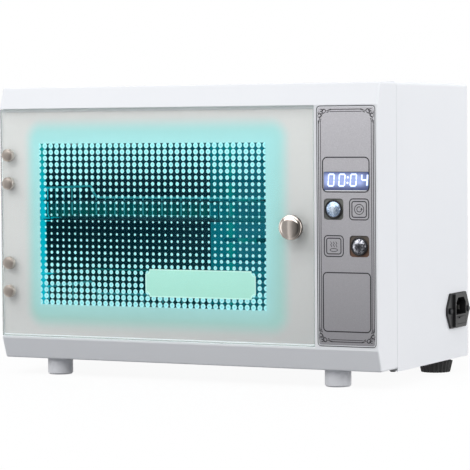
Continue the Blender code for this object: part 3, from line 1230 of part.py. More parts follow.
def make_screw(name, place, axis, outward, finish):
    """A pan head with one slot, its face turned outward along the axis from where the head sits"""
    index = "XYZ".index(axis)
    seat = place[index] + outward * SEAT_GAP
    top = seat + outward * SCREW_HEAD_HEIGHT
    shoulder = seat + outward * SCREW_HEAD_HEIGHT / 2
    end = place[index] - outward * SCREW_LENGTH
    profile = [
        (0, end),
        (SCREW_SHANK_RADIUS, end),
        (SCREW_SHANK_RADIUS, seat),
        (SCREW_HEAD_RADIUS, seat),
        (SCREW_HEAD_RADIUS, shoulder),
        (SCREW_HEAD_RADIUS * SCREW_TOP_SHARE, top),
        (0, top),
    ]
    centre = list(place)
    centre[index] = 0
    screw = solid(name, turned(profile, centre, axis, SMALL_ROUND), finish)
    reach = SCREW_HEAD_RADIUS + OVERCUT
    spans = [(centre[i] - SCREW_SLOT / 2, centre[i] + SCREW_SLOT / 2) for i in range(3)]
    long_way = 2 if axis != "Z" else 0
    spans[long_way] = (centre[long_way] - reach, centre[long_way] + reach)
    slot = sorted((top - outward * SCREW_SLOT, top + outward * OVERCUT))
    spans[index] = tuple(slot)
    cut(screw, box(*spans))


def make_screws():
    for side, name in ((-1, "inlet_screw_front"), (1, "inlet_screw_rear")):
        place = (INLET_FACE, INLET_Y + side * INLET_SCREW_SPACING / 2, INLET_Z)
        make_screw(name, place, "X", 1, "black_screw")
    for number, (x, y, z) in enumerate(rear_screw_places(), start=1):
        make_screw(f"rear_screw_{number}", (x, CASE_DEPTH, z), "Y", 1, "black_screw")
    sides = {"base_screw_left": BASE_SCREW_INSET_X, "base_screw_right": CASE_WIDTH - BASE_SCREW_INSET_X}
    for name, x in sides.items():
        make_screw(name, (x, BASE_SCREW_BACK, BASE_BOTTOM), "Z", -1, "black_screw")


def make_feet():
    top = BEZEL_BOTTOM - SEAT_GAP
    edge = FRONT_FOOT_EDGE
    stud_top = BEZEL_BOTTOM + BEZEL_WALL
    profile = [
        (0, 0),
        (FRONT_FOOT_RADIUS - edge, 0),
        (FRONT_FOOT_RADIUS, edge),
        (FRONT_FOOT_RADIUS, top),
        (SCREW_SHANK_RADIUS, top),
        (SCREW_SHANK_RADIUS, stud_top),
        (0, stud_top),
    ]
    for name, x in (("front_foot_left", FRONT_FOOT_INSET), ("front_foot_right", CASE_WIDTH - FRONT_FOOT_INSET)):
        solid(name, turned(profile, (x, FRONT_FOOT_BACK, 0), "Z", ROUND), "pale_foot")
    rear_top = BASE_BOTTOM - SEAT_GAP
    collar = rear_top - REAR_FOOT_COLLAR
    for name, x in (("rear_foot_left", REAR_FOOT_INSET), ("rear_foot_right", CASE_WIDTH - REAR_FOOT_INSET)):
        grip = [
            (0, 0),
            (REAR_FOOT_BOTTOM_RADIUS, 0),
            (REAR_FOOT_TOP_RADIUS, collar),
            (0, collar),
        ]
        foot = solid(
            name,
            turned(grip, (x, REAR_FOOT_BACK, 0), "Z", 2 * REAR_FOOT_RIBS, REAR_FOOT_RIBS, REAR_FOOT_RIB_DEPTH),
            "black_rubber",
        )
        neck = REAR_FOOT_TOP_RADIUS - 2 * REAR_FOOT_RIB_DEPTH
        fuse(foot, rod((x, REAR_FOOT_BACK, 0), "Z", neck, collar - REAR_FOOT_RIB_DEPTH, rear_top, ROUND))


def empty(name, place, parent=None):
    axis = bpy.data.objects.new(name, None)
    bpy.context.collection.objects.link(axis)
    axis.location = place
    axis.parent = parent
    return axis


def main():
    global case_origin
    for old in list(bpy.data.objects):
        bpy.data.objects.remove(old, do_unlink=True)
    finishes.update(make_finishes())
    middle_x = (CASE_WIDTH + SIDE_PROUD) / 2
    middle_y = (CASE_DEPTH + REAR_PROUD - KNOB_PROUD) / 2
    case_origin = empty("case_origin", (-middle_x, -middle_y, 0))
    door_axis = empty("door_axis", HINGE_AXIS, case_origin)
    make_bezel()
    make_casing()
    make_base()
    make_rear_panel()
    make_liner()
    make_rail("rail_left", LINER_LEFT, 1)
    make_rail("rail_right", LINER_RIGHT, -1)
    for level, bottom in BASKETS.items():
        make_basket(f"{level}_basket", bottom)
    make_lamp()
    make_air_path()
    make_fan()
    make_door(door_axis)
    for hinge, height in HINGES.items():
        make_hinge_bracket(f"hinge_bracket_{hinge}", height)
    make_catch()
    make_controls()
    for name, (column, row, style) in KEYS.items():
        make_key(name, column, row, style)
    make_ballast()
    make_inlet()
    make_screws()
    make_feet()


main()
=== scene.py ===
import math

import bmesh
import bpy
from mathutils import Matrix, Vector


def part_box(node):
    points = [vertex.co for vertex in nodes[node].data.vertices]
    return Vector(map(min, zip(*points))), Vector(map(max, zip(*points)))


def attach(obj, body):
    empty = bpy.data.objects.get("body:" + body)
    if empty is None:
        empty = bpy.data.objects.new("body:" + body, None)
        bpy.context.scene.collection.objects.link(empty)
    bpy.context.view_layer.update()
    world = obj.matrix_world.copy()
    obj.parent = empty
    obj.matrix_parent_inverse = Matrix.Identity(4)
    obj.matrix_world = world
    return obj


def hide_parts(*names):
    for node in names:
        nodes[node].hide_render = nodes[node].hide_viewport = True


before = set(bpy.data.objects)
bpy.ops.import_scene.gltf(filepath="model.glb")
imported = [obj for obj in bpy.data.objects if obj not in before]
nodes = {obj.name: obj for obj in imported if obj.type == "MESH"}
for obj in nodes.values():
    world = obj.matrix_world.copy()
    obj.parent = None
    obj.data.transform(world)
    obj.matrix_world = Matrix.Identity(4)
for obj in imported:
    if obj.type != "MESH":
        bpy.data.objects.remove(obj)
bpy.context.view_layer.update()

mm = 0.001
print("cabinet loaded with", len(nodes), "nodes")


# small helpers that every piece uses

def tone(red, green, blue):
    # a screen colour from 0 to 255 as the linear colour that Blender wants
    return (*[((c / 255 + 0.055) / 1.055) ** 2.4 if c > 10 else c / 3294.6 for c in (red, green, blue)], 1)


def newFinish(name, color, rough, metal=0.0, **more):
    finish = bpy.data.materials.new(name)
    finish.use_nodes = True
    tree = finish.node_tree
    shader = tree.nodes["Principled BSDF"]
    values = {"Base Color": color, "Roughness": rough, "Metallic": metal, **more}
    for socket, value in values.items():
        feed(shader, socket.replace("_", " "), value)
    return finish, tree, shader


def plug(tree, socket, value):
    # a socket takes a link or a plain value
    if isinstance(value, bpy.types.NodeSocket):
        tree.links.new(value, socket)
    else:
        socket.default_value = value


def put(tree, kind, sockets=None, **settings):
    # one node with its settings and its sockets
    node = tree.nodes.new("ShaderNode" + kind)
    for key, value in settings.items():
        setattr(node, key, value)
    for key, value in (sockets or {}).items():
        plug(tree, node.inputs[key], value)
    return node


def calc(tree, operation, first, second=0.0, third=0.0):
    return put(tree, "Math", {0: first, 1: second, 2: third}, operation=operation).outputs[0]


def times(tree, first, second):
    return calc(tree, "MULTIPLY", first, second)


def minus(tree, first, second):
    return calc(tree, "SUBTRACT", first, second)


def apart(tree, first, second):
    return calc(tree, "ABSOLUTE", minus(tree, first, second))


def reach(tree, across, up):
    # the length of a flat arrow
    return calc(tree, "SQRT", calc(tree, "ADD", times(tree, across, across), times(tree, up, up)))


def remap(tree, value, fromMin, fromMax, toMin=0.0, toMax=1.0, smooth=False):
    kind = "SMOOTHSTEP" if smooth else "LINEAR"
    sockets = {0: value, 1: fromMin, 2: fromMax, 3: toMin, 4: toMax}
    return put(tree, "MapRange", sockets, interpolation_type=kind).outputs[0]


def blend(tree, share, first, second):
    return put(tree, "Mix", {0: share, 6: first, 7: second}, data_type="RGBA").outputs[2]


def toneRamp(tree, value, stops):
    ramp = put(tree, "ValToRGB", {0: value})
    for i, (spot, color) in enumerate(stops):
        stop = ramp.color_ramp.elements[i] if i < 2 else ramp.color_ramp.elements.new(spot)
        stop.position, stop.color = spot, color
    return ramp.outputs[0]


def place(tree):
    # where a point is on the cabinet at rest, in metres
    return put(tree, "TexCoord").outputs["Object"]


def axes(tree):
    split = put(tree, "SeparateXYZ", {0: place(tree)})
    return split.outputs[0], split.outputs[1], split.outputs[2]


def grain(tree, scale, detail=2.0, stretch=(1, 1, 1), rough=0.5):
    mapped = put(tree, "Mapping", {"Vector": place(tree), "Scale": stretch}).outputs[0]
    sockets = {"Vector": mapped, "Scale": scale, "Detail": detail, "Roughness": rough}
    return put(tree, "TexNoise", sockets).outputs[0]


def feed(shader, socket, value):
    plug(shader.id_data, shader.inputs[socket], value)


def lightUp(shader, color, strength):
    feed(shader, "Emission Color", color)
    feed(shader, "Emission Strength", strength)


def dent(shader, height, strength, distance):
    tree = shader.id_data
    bump = put(tree, "Bump", {"Height": height, "Strength": strength, "Distance": distance})
    feed(shader, "Normal", bump.outputs[0])


def scaled(color, by):
    return (*[min(1, c * by) for c in color[:3]], 1)


def dress(finish, *names):
    for name in names:
        nodes[name].material_slots[0].material = finish


def middleOf(node):
    low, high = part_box(node)
    return (low.x + high.x) / 2, (low.z + high.z) / 2


def addObject(name, data):
    thing = bpy.data.objects.new(name, data)
    bpy.context.scene.collection.objects.link(thing)
    return thing


def boxDistance(tree, low, high, corner):
    # how far a point lies outside a rounded rectangle seen from the front, less than zero inside
    x, z = axes(tree)[::2]
    sides = []
    for value, a, b in ((x, low[0], high[0]), (z, low[1], high[1])):
        away = minus(tree, apart(tree, value, (a + b) / 2), (b - a) / 2 - corner)
        sides.append(calc(tree, "MAXIMUM", away, 0.0))
    return minus(tree, reach(tree, *sides), corner)


def addPiece(name, points, faces, finish, body, smooth=False):
    mesh = bpy.data.meshes.new(name)
    mesh.from_pydata([Vector(p) for p in points], [], faces)
    mesh.update()
    mesh.polygons.foreach_set("use_smooth", [smooth] * len(mesh.polygons))
    mesh.materials.append(finish)
    piece = addObject(name, mesh)
    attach(piece, body)
    return piece


def arc(cx, cz, radius, start=0, end=360, steps=24, grow=0.0):
    line = []
    for i in range(steps + 1):
        turn = math.radians(start + (end - start) * i / steps)
        size = radius * (1 + grow * i / steps)
        line.append((cx + size * math.cos(turn), cz + size * math.sin(turn)))
    return line


def roundedLoop(x0, x1, z0, z1, radius, steps=5):
    left, right, low, high = x0 + radius, x1 - radius, z0 + radius, z1 - radius
    loop = []
    for cx, cz, start in ((right, high, 0), (left, high, 90), (left, low, 180), (right, low, 270)):
        loop += arc(cx, cz, radius, start, start + 90, steps)
    return loop


class Ink:
    # flat printed shapes on one upright plane, gathered into one piece
    def __init__(self, y):
        self.y, self.points, self.faces = y, [], []

    def patch(self, loop):
        start = len(self.points)
        self.points += [(x, self.y, z) for x, z in loop]
        self.faces.append(list(range(start, start + len(loop)))[::-1])

    def stroke(self, line, width, closed=False, taper=False):
        start, count = len(self.points), len(line)
        for i, (x, z) in enumerate(line):
            before = line[i - 1] if closed or i else line[0]
            after = line[(i + 1) % count] if closed or i < count - 1 else line[-1]
            dx, dz = after[0] - before[0], after[1] - before[1]
            length = math.hypot(dx, dz) or 1
            half = width / 2 * (1 - 0.75 * i / (count - 1) if taper else 1)
            self.points.append((x - dz / length * half, self.y, z + dx / length * half))
            self.points.append((x + dz / length * half, self.y, z - dx / length * half))
        for i in range(count if closed else count - 1):
            a, b = start + 2 * i, start + 2 * ((i + 1) % count)
            self.faces.append((a, a + 1, b + 1, b))

    def finish(self, name, finish, body, slot):
        return addPiece(name, self.points, self.faces, finish, body)


# camera, from the edges of the cabinet in the photograph

cameraView = {
    "place": (0.95103, -1.8644, 0.21352),
    "yaw": 27.028,
    "pitch": 2.550,
    "tilt": -0.470,
    "lens": 183.06,
}


def setCamera():
    yaw, pitch, tilt = (math.radians(cameraView[k]) for k in ("yaw", "pitch", "tilt"))
    ahead = Vector((-math.sin(yaw) * math.cos(pitch), math.cos(yaw) * math.cos(pitch), -math.sin(pitch)))
    right = Vector((math.cos(yaw), math.sin(yaw), 0))
    up = right.cross(ahead)
    right, up = right * math.cos(tilt) + up * math.sin(tilt), up * math.cos(tilt) - right * math.sin(tilt)
    data = bpy.data.cameras.new("photoCamera")
    data.lens = cameraView["lens"]
    data.sensor_width = 36
    data.clip_start, data.clip_end = 0.05, 30
    camera = addObject("photoCamera", data)
    turned = Matrix((right, up, -ahead)).transposed().to_4x4()
    turned.translation = cameraView["place"]
    camera.matrix_world = turned
    bpy.context.scene.camera = camera
    bpy.context.scene.view_settings.view_transform = "Standard"


setCamera()
print("camera set")


# soft studio: a box over the front, one at the right, a weak one behind, and a floor that fades to white

studio = {
    "key": {"size": (3.4, 2.4), "place": (-0.45, -1.6, 1.95), "power": 53},
    "side": {"size": (1.0, 1.3), "place": (2.2, 0.25, 0.75), "power": 25},
    "rear": {"size": (2.2, 1.4), "place": (-0.3, 2.4, 0.8), "power": 9},
    "around": 0.47,
    # what polished metal sees in front, from the left to the right: cards and gaps
    "cards": (
        (0.0, 1.0), (0.05, 1.0), (0.085, 0.5), (0.15, 0.42), (0.22, 0.44), (0.27, 0.82), (0.32, 0.62),
        (0.40, 0.28), (0.5, 0.16), (0.62, 0.07), (0.76, 0.1), (0.84, 0.9), (1.0, 0.9),
    ),
    "farLeftCard": 1.7,
    "floorRadius": 1.35,
    "floorSeen": tone(242, 243, 245),
    "floorTable": tone(126, 127, 130),
    "floorWhite": (0.93, 1.0),
    "middle": (0, 0, 0.13),
}


def softbox(name, size, place, power):
    data = bpy.data.lights.new(name, "AREA")
    data.shape = "RECTANGLE"
    data.size, data.size_y = size
    data.energy = power
    box = addObject(name, data)
    box.location = place
    # the one behind leaves no shine on the top
    box.visible_glossy = place[1] < 1
    toMiddle = Vector(studio["middle"]) - Vector(place)
    box.rotation_euler = toMiddle.to_track_quat("-Z", "Y").to_euler()


def seenDirectly(tree):
    # the background is white to the eye, in glass and in polished metal
    path = put(tree, "LightPath")
    shown = calc(tree, "MAXIMUM", path.outputs["Is Camera Ray"], path.outputs["Is Transmission Ray"])
    return shown, path.outputs["Is Glossy Ray"]


def setAir():
    world = bpy.data.worlds.new("studioAir")
    bpy.context.scene.world = world
    world.use_nodes = True
    tree = world.node_tree
    tree.nodes.clear()
    shown, glossy = seenDirectly(tree)
    ahead = put(tree, "SeparateXYZ", {0: put(tree, "TexCoord").outputs["Generated"]}).outputs
    greys = [(spot, (v, v, v, 1)) for spot, v in studio["cards"]]
    cards = toneRamp(tree, remap(tree, ahead[0], -1.0, 1.0), greys)
    around = blend(tree, remap(tree, ahead[1], -0.1, 0.3, smooth=True), cards, (1, 1, 1, 1))
    # the card at the far left is the brightest
    glossPower = remap(tree, ahead[0], -0.95, -0.82, studio["farLeftCard"], 1.0, True)
    gloss = put(tree, "Background", {"Color": around, "Strength": glossPower}).outputs[0]
    soft = put(tree, "Background", {"Color": (0.97, 0.985, 1, 1), "Strength": studio["around"]}).outputs[0]
    white = put(tree, "Background", {"Color": (1, 1, 1, 1), "Strength": 1.0}).outputs[0]
    other = put(tree, "MixShader", {0: glossy, 1: soft, 2: gloss}).outputs[0]
    put(tree, "OutputWorld", {0: put(tree, "MixShader", {0: shown, 1: other, 2: white}).outputs[0]})


def makeFloor():
    finish, tree, shader = newFinish("paleFloor", studio["floorSeen"], 0.7)
    shown, glossy = seenDirectly(tree)
    feed(shader, "Base Color", blend(tree, shown, studio["floorTable"], studio["floorSeen"]))
    white = put(tree, "Emission", {"Color": (1, 1, 1, 1), "Strength": 1.0}).outputs[0]
    clear = put(tree, "BsdfTransparent").outputs[0]
    x, y = axes(tree)[:2]
    whiteShare = remap(tree, reach(tree, x, y), 0.15, 0.7, *studio["floorWhite"], True)
    # polished metal sees white behind the cabinet, and the cards instead of the floor before it
    before = times(tree, glossy, remap(tree, y, -0.25, 0.1, 1.0, 0.0, True))
    seen = times(tree, whiteShare, calc(tree, "MAXIMUM", shown, glossy))
    mixed = put(tree, "MixShader", {0: seen, 1: shader.outputs[0], 2: white}).outputs[0]
    mixed = put(tree, "MixShader", {0: before, 1: mixed, 2: clear}).outputs[0]
    plug(tree, tree.nodes["Material Output"].inputs[0], mixed)
    rim = [(x, y, 0) for x, y in arc(0, 0, studio["floorRadius"], steps=96)[:-1]]
    mesh = bpy.data.meshes.new("floor")
    mesh.from_pydata(rim, [], [list(range(len(rim)))])
    mesh.materials.append(finish)
    floor = addObject("floor", mesh)


for name in ("key", "side", "rear"):
    softbox(name + "Softbox", **studio[name])
setAir()
makeFloor()
print("studio set")


# white powder coat, on the front frame, the casing and the rear panel

whitePaint = {
    "light": tone(243, 244, 247),
    "dark": tone(236, 238, 242),
    "rough": (0.36, 0.46),
    "innerPaintedGlow": tone(0, 62, 72),
}


def makePaint(name="whitePaint"):
    light = whitePaint["light"]
    satin = {"Specular_IOR_Level": 0.22, "Coat_Weight": 0.04, "Coat_Roughness": 0.3}
    finish, tree, shader = newFinish(name, light, 0.4, **satin)
    feed(shader, "Base Color", blend(tree, grain(tree, 7, 3), whitePaint["dark"], light))
    feed(shader, "Roughness", remap(tree, grain(tree, 160, 2), 0.3, 0.7, *whitePaint["rough"]))
    dent(shader, grain(tree, 1500, 2), 0.10, 0.00006)
    return finish, tree, shader


def makeSteel(name, color, rough, stretch=(1, 30, 30), streak=0.25):
    # rolled sheet, with faint streaks along one way
    finish, tree, shader = newFinish(name, color, 0.3, 0.95)
    lines = grain(tree, 60, 3, stretch, 0.6)
    feed(shader, "Base Color", blend(tree, lines, scaled(color, 1 - streak), color))
    feed(shader, "Roughness", remap(tree, lines, 0.3, 0.7, *rough))
    dent(shader, lines, 0.12, 0.00008)
    return finish, tree, shader


def makeTurned(name, centre, color, rough, axis="Y", side=None):
    # polished on a lathe: faint rings round the piece's own axis
    finish, tree, shader = newFinish(name, color, 0.12, 1.0)
    mapped = put(tree, "Mapping", {"Vector": place(tree), "Location": [-v for v in centre]}).outputs[0]
    sockets = {"Vector": mapped, "Scale": 700.0, "Distortion": 0.6, "Detail": 1.0, "Detail Scale": 40.0}
    rings = put(tree, "TexWave", sockets, wave_type="RINGS", rings_direction=axis).outputs["Fac"]
    feed(shader, "Roughness", remap(tree, rings, 0.0, 1.0, *rough))
    wornAndSideTone = blend(tree, grain(tree, 260, 3), scaled(color, 0.86), color)
    if side:
        # the turned side takes another tone: on the knob a painted dark reflection, its own shadow seen in
        # its side
        behind = remap(tree, axes(tree)[1], side["face"], side["face"] + 0.5 * mm)
        wornAndSideTone = blend(tree, behind, wornAndSideTone, side["tone"])
    feed(shader, "Base Color", wornAndSideTone)
    dent(shader, rings, 0.05, 0.00003)
    return finish


def makeMoulded(name, color, rough=(0.4, 0.55), spark=1200, bump=0.16, lift=1.25):
    # moulded plastic or rubber with a fine spark-eroded skin
    finish, tree, shader = newFinish(name, color, 0.45)
    skin = grain(tree, spark, 3)
    feed(shader, "Base Color", blend(tree, grain(tree, 40, 2), color, scaled(color, lift)))
    feed(shader, "Roughness", remap(tree, skin, 0.3, 0.7, *rough))
    dent(shader, skin, bump, 0.00008)
    return finish


def makeRearPaint():
    # its inner face gets a painted glow, the chamber's light as seen through the slots
    finish, tree, shader = makePaint("rearPaint")
    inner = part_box("fan_frame")[1].y
    lit = remap(tree, axes(tree)[1], inner + 0.3 * mm, inner + 0.6 * mm, 1.0, 0.0)
    lightUp(shader, blend(tree, lit, (0, 0, 0, 1), whitePaint["innerPaintedGlow"]), 1.0)
    return finish


dress(makePaint()[0], "front_bezel", "outer_casing", "hinge_leaf_upper", "hinge_leaf_lower")
dress(makeRearPaint(), "rear_panel")
print("paint on")


# the glass door: ground edges, clear faces

doorGlass = {
    "clear": tone(251, 253, 252),
    "edge": tone(206, 224, 219),
    "edgeRough": (0.3, 0.38),
    "reflect": (0.0, 0.08, 0.1, 1),
}
glassLow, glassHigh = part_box("door_glass")


def makeDoorGlass():
    glassy = {"IOR": 1.46, "Transmission_Weight": 1.0, "Specular_Tint": doorGlass["reflect"]}
    finish, tree, shader = newFinish("doorGlass", doorGlass["clear"], 0.02, **glassy)
    facing = put(tree, "SeparateXYZ", {0: put(tree, "NewGeometry").outputs["Normal"]}).outputs[1]
    flat = remap(tree, calc(tree, "ABSOLUTE", facing), 0.6, 0.9)
    feed(shader, "Base Color", blend(tree, flat, doorGlass["edge"], doorGlass["clear"]))
    smear = remap(tree, grain(tree, 18, 4), 0.45, 0.75, 0.0, 0.035, True)
    ground = remap(tree, grain(tree, 2600, 2), 0.3, 0.7, *doorGlass["edgeRough"])
    roughEdge = times(tree, minus(tree, 1.0, flat), ground)
    feed(shader, "Roughness", calc(tree, "ADD", roughEdge, smear))
    # light goes through to the chamber without a shadow
    through = put(tree, "BsdfTransparent", {0: (0.94, 0.975, 0.96, 1)}).outputs[0]
    shadow = put(tree, "LightPath").outputs["Is Shadow Ray"]
    mixed = put(tree, "MixShader", {0: shadow, 1: shader.outputs[0], 2: through}).outputs[0]
    plug(tree, tree.nodes["Material Output"].inputs[0], mixed)
    return finish


dress(makeDoorGlass(), "door_glass")


# print on the back of the glass: a pale border and a window of dots, with a teal glow painted round the
# window as the chamber's light

doorPrint = {
    "inset": {"left": 0.4, "right": 1.6, "low": 1.8, "high": 2.6},
    "window": {"left": 38.0, "right": 45.4, "low": 28.4, "high": 29.9},
    "glow": {"left": 27.2, "right": 27.0, "low": 11.0, "high": 12.7},
    "behindGlass": 0.12,
    "columns": 38,
    "rows": 26,
    "firstColumn": 37.9,
    "middleRow": 98.0,
    "pitchAcross": 5.92,
    "pitchUp": 5.42,
    "largestDot": 0.86,
    "smallestDot": 0.33,
    "dotShape": (0.9, 1.05),
    "borderHigh": tone(218, 215, 216),
    "borderPaintedShade": tone(180, 177, 179),
    "glowHigh": tone(165, 218, 219),
    "glowLow": tone(152, 192, 188),
    "dotHigh": tone(164, 230, 235),
    "dotLow": tone(160, 218, 224),
    "dotEye": tone(84, 186, 196),
    "dotGlow": tone(120, 232, 240),
    "dotPower": 0.13,
    "speckle": (0.5, 0.62, 0.6, 1),
    # each layer of print lies this far before the one under it
    "layer": 0.03,
}


def insideGlass(margins):
    low = (glassLow.x + margins["left"] * mm, glassLow.z + margins["low"] * mm)
    high = (glassHigh.x - margins["right"] * mm, glassHigh.z - margins["high"] * mm)
    return low, high


filmY = glassHigh.y + doorPrint["behindGlass"] * mm
firstDotX = glassLow.x + doorPrint["firstColumn"] * mm
middleDotZ = glassLow.z + doorPrint["middleRow"] * mm
windowLow, windowHigh = insideGlass(doorPrint["window"])
glowLow, glowHigh = insideGlass(doorPrint["glow"])


def finishFilm(tree, shader, color):
    speckle = remap(tree, grain(tree, 2200, 2), 0.3, 0.7, 0.0, 0.05)
    feed(shader, "Base Color", blend(tree, speckle, color, doorPrint["speckle"]))
    dent(shader, grain(tree, 1800, 2), 0.05, 0.00003)


def upTheWindow(tree, low, high):
    rise = remap(tree, axes(tree)[2], windowLow[1], windowHigh[1])
    return blend(tree, rise, doorPrint[low], doorPrint[high])


def offCentre(tree, value, first, pitch, start):
    # how far a point is from the middle of its dot's cell, in cells
    cell = calc(tree, "MULTIPLY_ADD", value, 1 / pitch, start - first / pitch)
    return minus(tree, calc(tree, "FRACT", cell), 0.5)


def makeDotFinish():
    finish, tree, shader = newFinish("printedDots", doorPrint["dotHigh"], 0.35)
    x, z = axes(tree)[::2]
    # each dot has a darker eye, plain in the large ones and faint in the small ones
    across = offCentre(tree, x, firstDotX, doorPrint["pitchAcross"] * mm, 10.5)
    up = offCentre(tree, z, middleDotZ, doorPrint["pitchUp"] * mm, 50)
    large = remap(tree, apart(tree, z, middleDotZ), 20 * mm, 60 * mm, 0.15, 0.62)
    eye = times(tree, remap(tree, reach(tree, across, up), 0.05, 0.22, 1.0, 0.0, True), large)
    finishFilm(tree, shader, blend(tree, eye, upTheWindow(tree, "dotLow", "dotHigh"), doorPrint["dotEye"]))
    # painted glow: the printed dots give a faint light of their own
    lightUp(shader, doorPrint["dotGlow"], doorPrint["dotPower"])
    return finish


def makeBorderFinish():
    finish, tree, shader = newFinish("printedBorderAndGlow", doorPrint["borderHigh"], 0.35)
    x, z = axes(tree)[::2]
    # painted glow: the chamber's teal light round the window, stronger near the dots
    share = remap(tree, boxDistance(tree, glowLow, glowHigh, 14 * mm), -8 * mm, 7 * mm, 1.0, 0.0, True)
    near = remap(tree, boxDistance(tree, windowLow, windowHigh, 3 * mm), 0.0, 12 * mm, 0.5, 0.0)
    # painted shade: the pale border is a little greyer towards its foot, most at the right, where the light
    # falls off
    under = remap(tree, z, glassLow.z, glassHigh.z, 1.0, 0.0)
    level = times(tree, under, remap(tree, x, glassLow.x, glassHigh.x, 0.6, 1.0))
    plain = blend(tree, level, doorPrint["borderHigh"], doorPrint["borderPaintedShade"])
    color = blend(tree, share, plain, upTheWindow(tree, "glowLow", "glowHigh"))
    finishFilm(tree, shader, blend(tree, near, color, upTheWindow(tree, "dotLow", "dotHigh")))
    return finish


def addBorderPrint():
    outerLow, outerHigh = insideGlass(doorPrint["inset"])
    outer = roundedLoop(outerLow[0], outerHigh[0], outerLow[1], outerHigh[1], 1.5 * mm, 4)
    inner = roundedLoop(windowLow[0], windowHigh[0], windowLow[1], windowHigh[1], 0.8 * mm, 4)
    points = [(x, filmY, z) for x, z in outer + inner]
    count = len(outer)
    faces = [(i, (i + 1) % count, count + (i + 1) % count, count + i) for i in range(count)]
    addPiece("door_print_border", points, faces, makeBorderFinish(), "door")


def addDotPrint():
    ink = Ink(filmY - doorPrint["layer"] * mm)
    across, up = doorPrint["pitchAcross"] * mm, doorPrint["pitchUp"] * mm
    least, most = doorPrint["smallestDot"], doorPrint["largestDot"]
    half = (doorPrint["rows"] - 1) / 2
    for row in range(doorPrint["rows"]):
        # the dots grow from the middle row to the edges
        away = abs(row - half) / half
        share = least + (most - least) * (away + away * away * (3 - 2 * away)) / 2
        wide, tall = (share * pitch / 2 * part for pitch, part in zip((across, up), doorPrint["dotShape"]))
        z = middleDotZ + (row - half) * up
        for column in range(doorPrint["columns"]):
            x = firstDotX + column * across
            dot = []
            for i, (cos, sin) in enumerate(arc(0, 0, 1, steps=20)[:-1]):
                # cut off at the window's sides, with a hair between the points on a cut
                hair = i * mm * 0.001
                within = min(max(x + wide * cos, windowLow[0] - hair), windowHigh[0] + hair)
                dot.append((within, z + tall * sin))
            ink.patch(dot)
    ink.finish("door_print_dots", makeDotFinish(), "door", "white_paint")


# the name plate's place, left bare, with small notched corners
barePlaque = {
    "left": 142.4, "width": 105.0, "low": 37.0, "height": 23.8, "notch": 4.0, "edge": 0.9,
    "fieldLow": tone(160, 216, 202), "fieldHigh": tone(168, 224, 212), "fleck": tone(225, 250, 244),
    "edgeDark": tone(186, 232, 222), "edgeLight": tone(204, 240, 232),
}


def plaqueOutline(grow):
    # a rectangle with its corners cut out round, grown by so many millimetres
    x0 = glassLow.x + (barePlaque["left"] - grow) * mm
    z0 = glassLow.z + (barePlaque["low"] - grow) * mm
    x1 = x0 + (barePlaque["width"] + 2 * grow) * mm
    z1 = z0 + (barePlaque["height"] + 2 * grow) * mm
    loop = []
    for cx, cz, start in ((x1, z1, 270), (x0, z1, 360), (x0, z0, 90), (x1, z0, 180)):
        loop += arc(cx, cz, barePlaque["notch"] * mm, start, start - 90, 6)
    return loop


def addPlaque():
    finish, tree, shader = newFinish("plaqueFilm", barePlaque["fieldHigh"], 0.3)
    z0 = glassLow.z + barePlaque["low"] * mm
    rise = remap(tree, axes(tree)[2], z0, z0 + barePlaque["height"] * mm)
    base = blend(tree, rise, barePlaque["fieldLow"], barePlaque["fieldHigh"])
    feed(shader, "Base Color", blend(tree, times(tree, grain(tree, 900, 3), 0.10), base, barePlaque["fleck"]))
    dent(shader, grain(tree, 700, 2), 0.05, 0.00003)
    ink = Ink(filmY - 2 * doorPrint["layer"] * mm)
    ink.patch(plaqueOutline(0.0)[::-1])
    ink.finish("door_print_plaque", finish, "door", "white_paint")
    edge, tree, shader = newFinish("plaqueEdge", barePlaque["edgeLight"], 0.3)
    pale = blend(tree, grain(tree, 600, 2), barePlaque["edgeDark"], barePlaque["edgeLight"])
    feed(shader, "Base Color", pale)
    ring = Ink(filmY - 3 * doorPrint["layer"] * mm)
    ring.stroke(plaqueOutline(-0.6), barePlaque["edge"] * mm, closed=True)
    ring.finish("door_print_plaque_edge", edge, "door", "white_paint")


addBorderPrint()
addDotPrint()
addPlaque()
print("door print done")


# polished caps and knob on the glass: each radius, and how far it stands off the glass

capShape = {
    "profile": (
        (0.0, -5.0), (2.5, -5.0), (2.5, -0.02), (5.45, -0.02), (5.45, 0.8), (5.45, 2.6), (5.3, 3.2),
        (4.95, 3.6), (4.7, 3.62), (4.45, 3.5), (4.1, 3.7), (3.0, 3.95), (1.5, 4.13), (0.0, 4.2),
    ),
    "metal": tone(190, 180, 172),
    "rough": (0.34, 0.46),
    "sideTone": tone(214, 208, 202),
    "sideFrom": 3.3,
}

# the turned knob: flange, neck, flared head, a bead and a low dome
knobShape = {
    "profile": (
        (0.0, -7.6), (2.0, -7.6), (2.0, -0.02), (6.2, -0.02), (6.25, 0.9), (5.7, 1.5), (4.2, 1.9),
        (3.8, 2.6), (3.8, 3.8), (4.5, 5.0), (6.6, 5.7), (9.3, 6.3), (10.2, 6.8), (10.5, 7.6), (10.5, 9.0),
        (10.3, 9.7), (9.8, 10.15), (9.1, 10.4), (8.5, 10.55), (7.9, 10.8), (6.9, 11.15), (5.2, 11.53),
        (3.1, 11.83), (1.4, 11.97), (0.0, 12.0),
    ),
    "metal": tone(224, 214, 206),
    "rough": (0.05, 0.12),
    # a painted dark reflection on the side of the head, the knob's own shadow seen in it
    "sideTone": tone(74, 56, 44),
    "sideFrom": 9.75,
}


def smoothed(profile):
    # rounds the profile past its stem, each stretch in four steps, but for long ones
    line = [Vector(p) for p in profile]
    fine = []
    for i in range(len(line) - 1):
        a, b, c, d = line[max(i - 1, 0)], line[i], line[i + 1], line[min(i + 2, len(line) - 1)]
        if i < 3 or (c - b).length > 3:
            fine.append(b)
            continue
        for t in (0, 0.25, 0.5, 0.75):
            bend = (2 * a - 5 * b + 4 * c - d) * t * t + (3 * b - a - 3 * c + d) * t ** 3
            fine.append(0.5 * (2 * b + (c - a) * t + bend))
    return fine + [line[-1]]


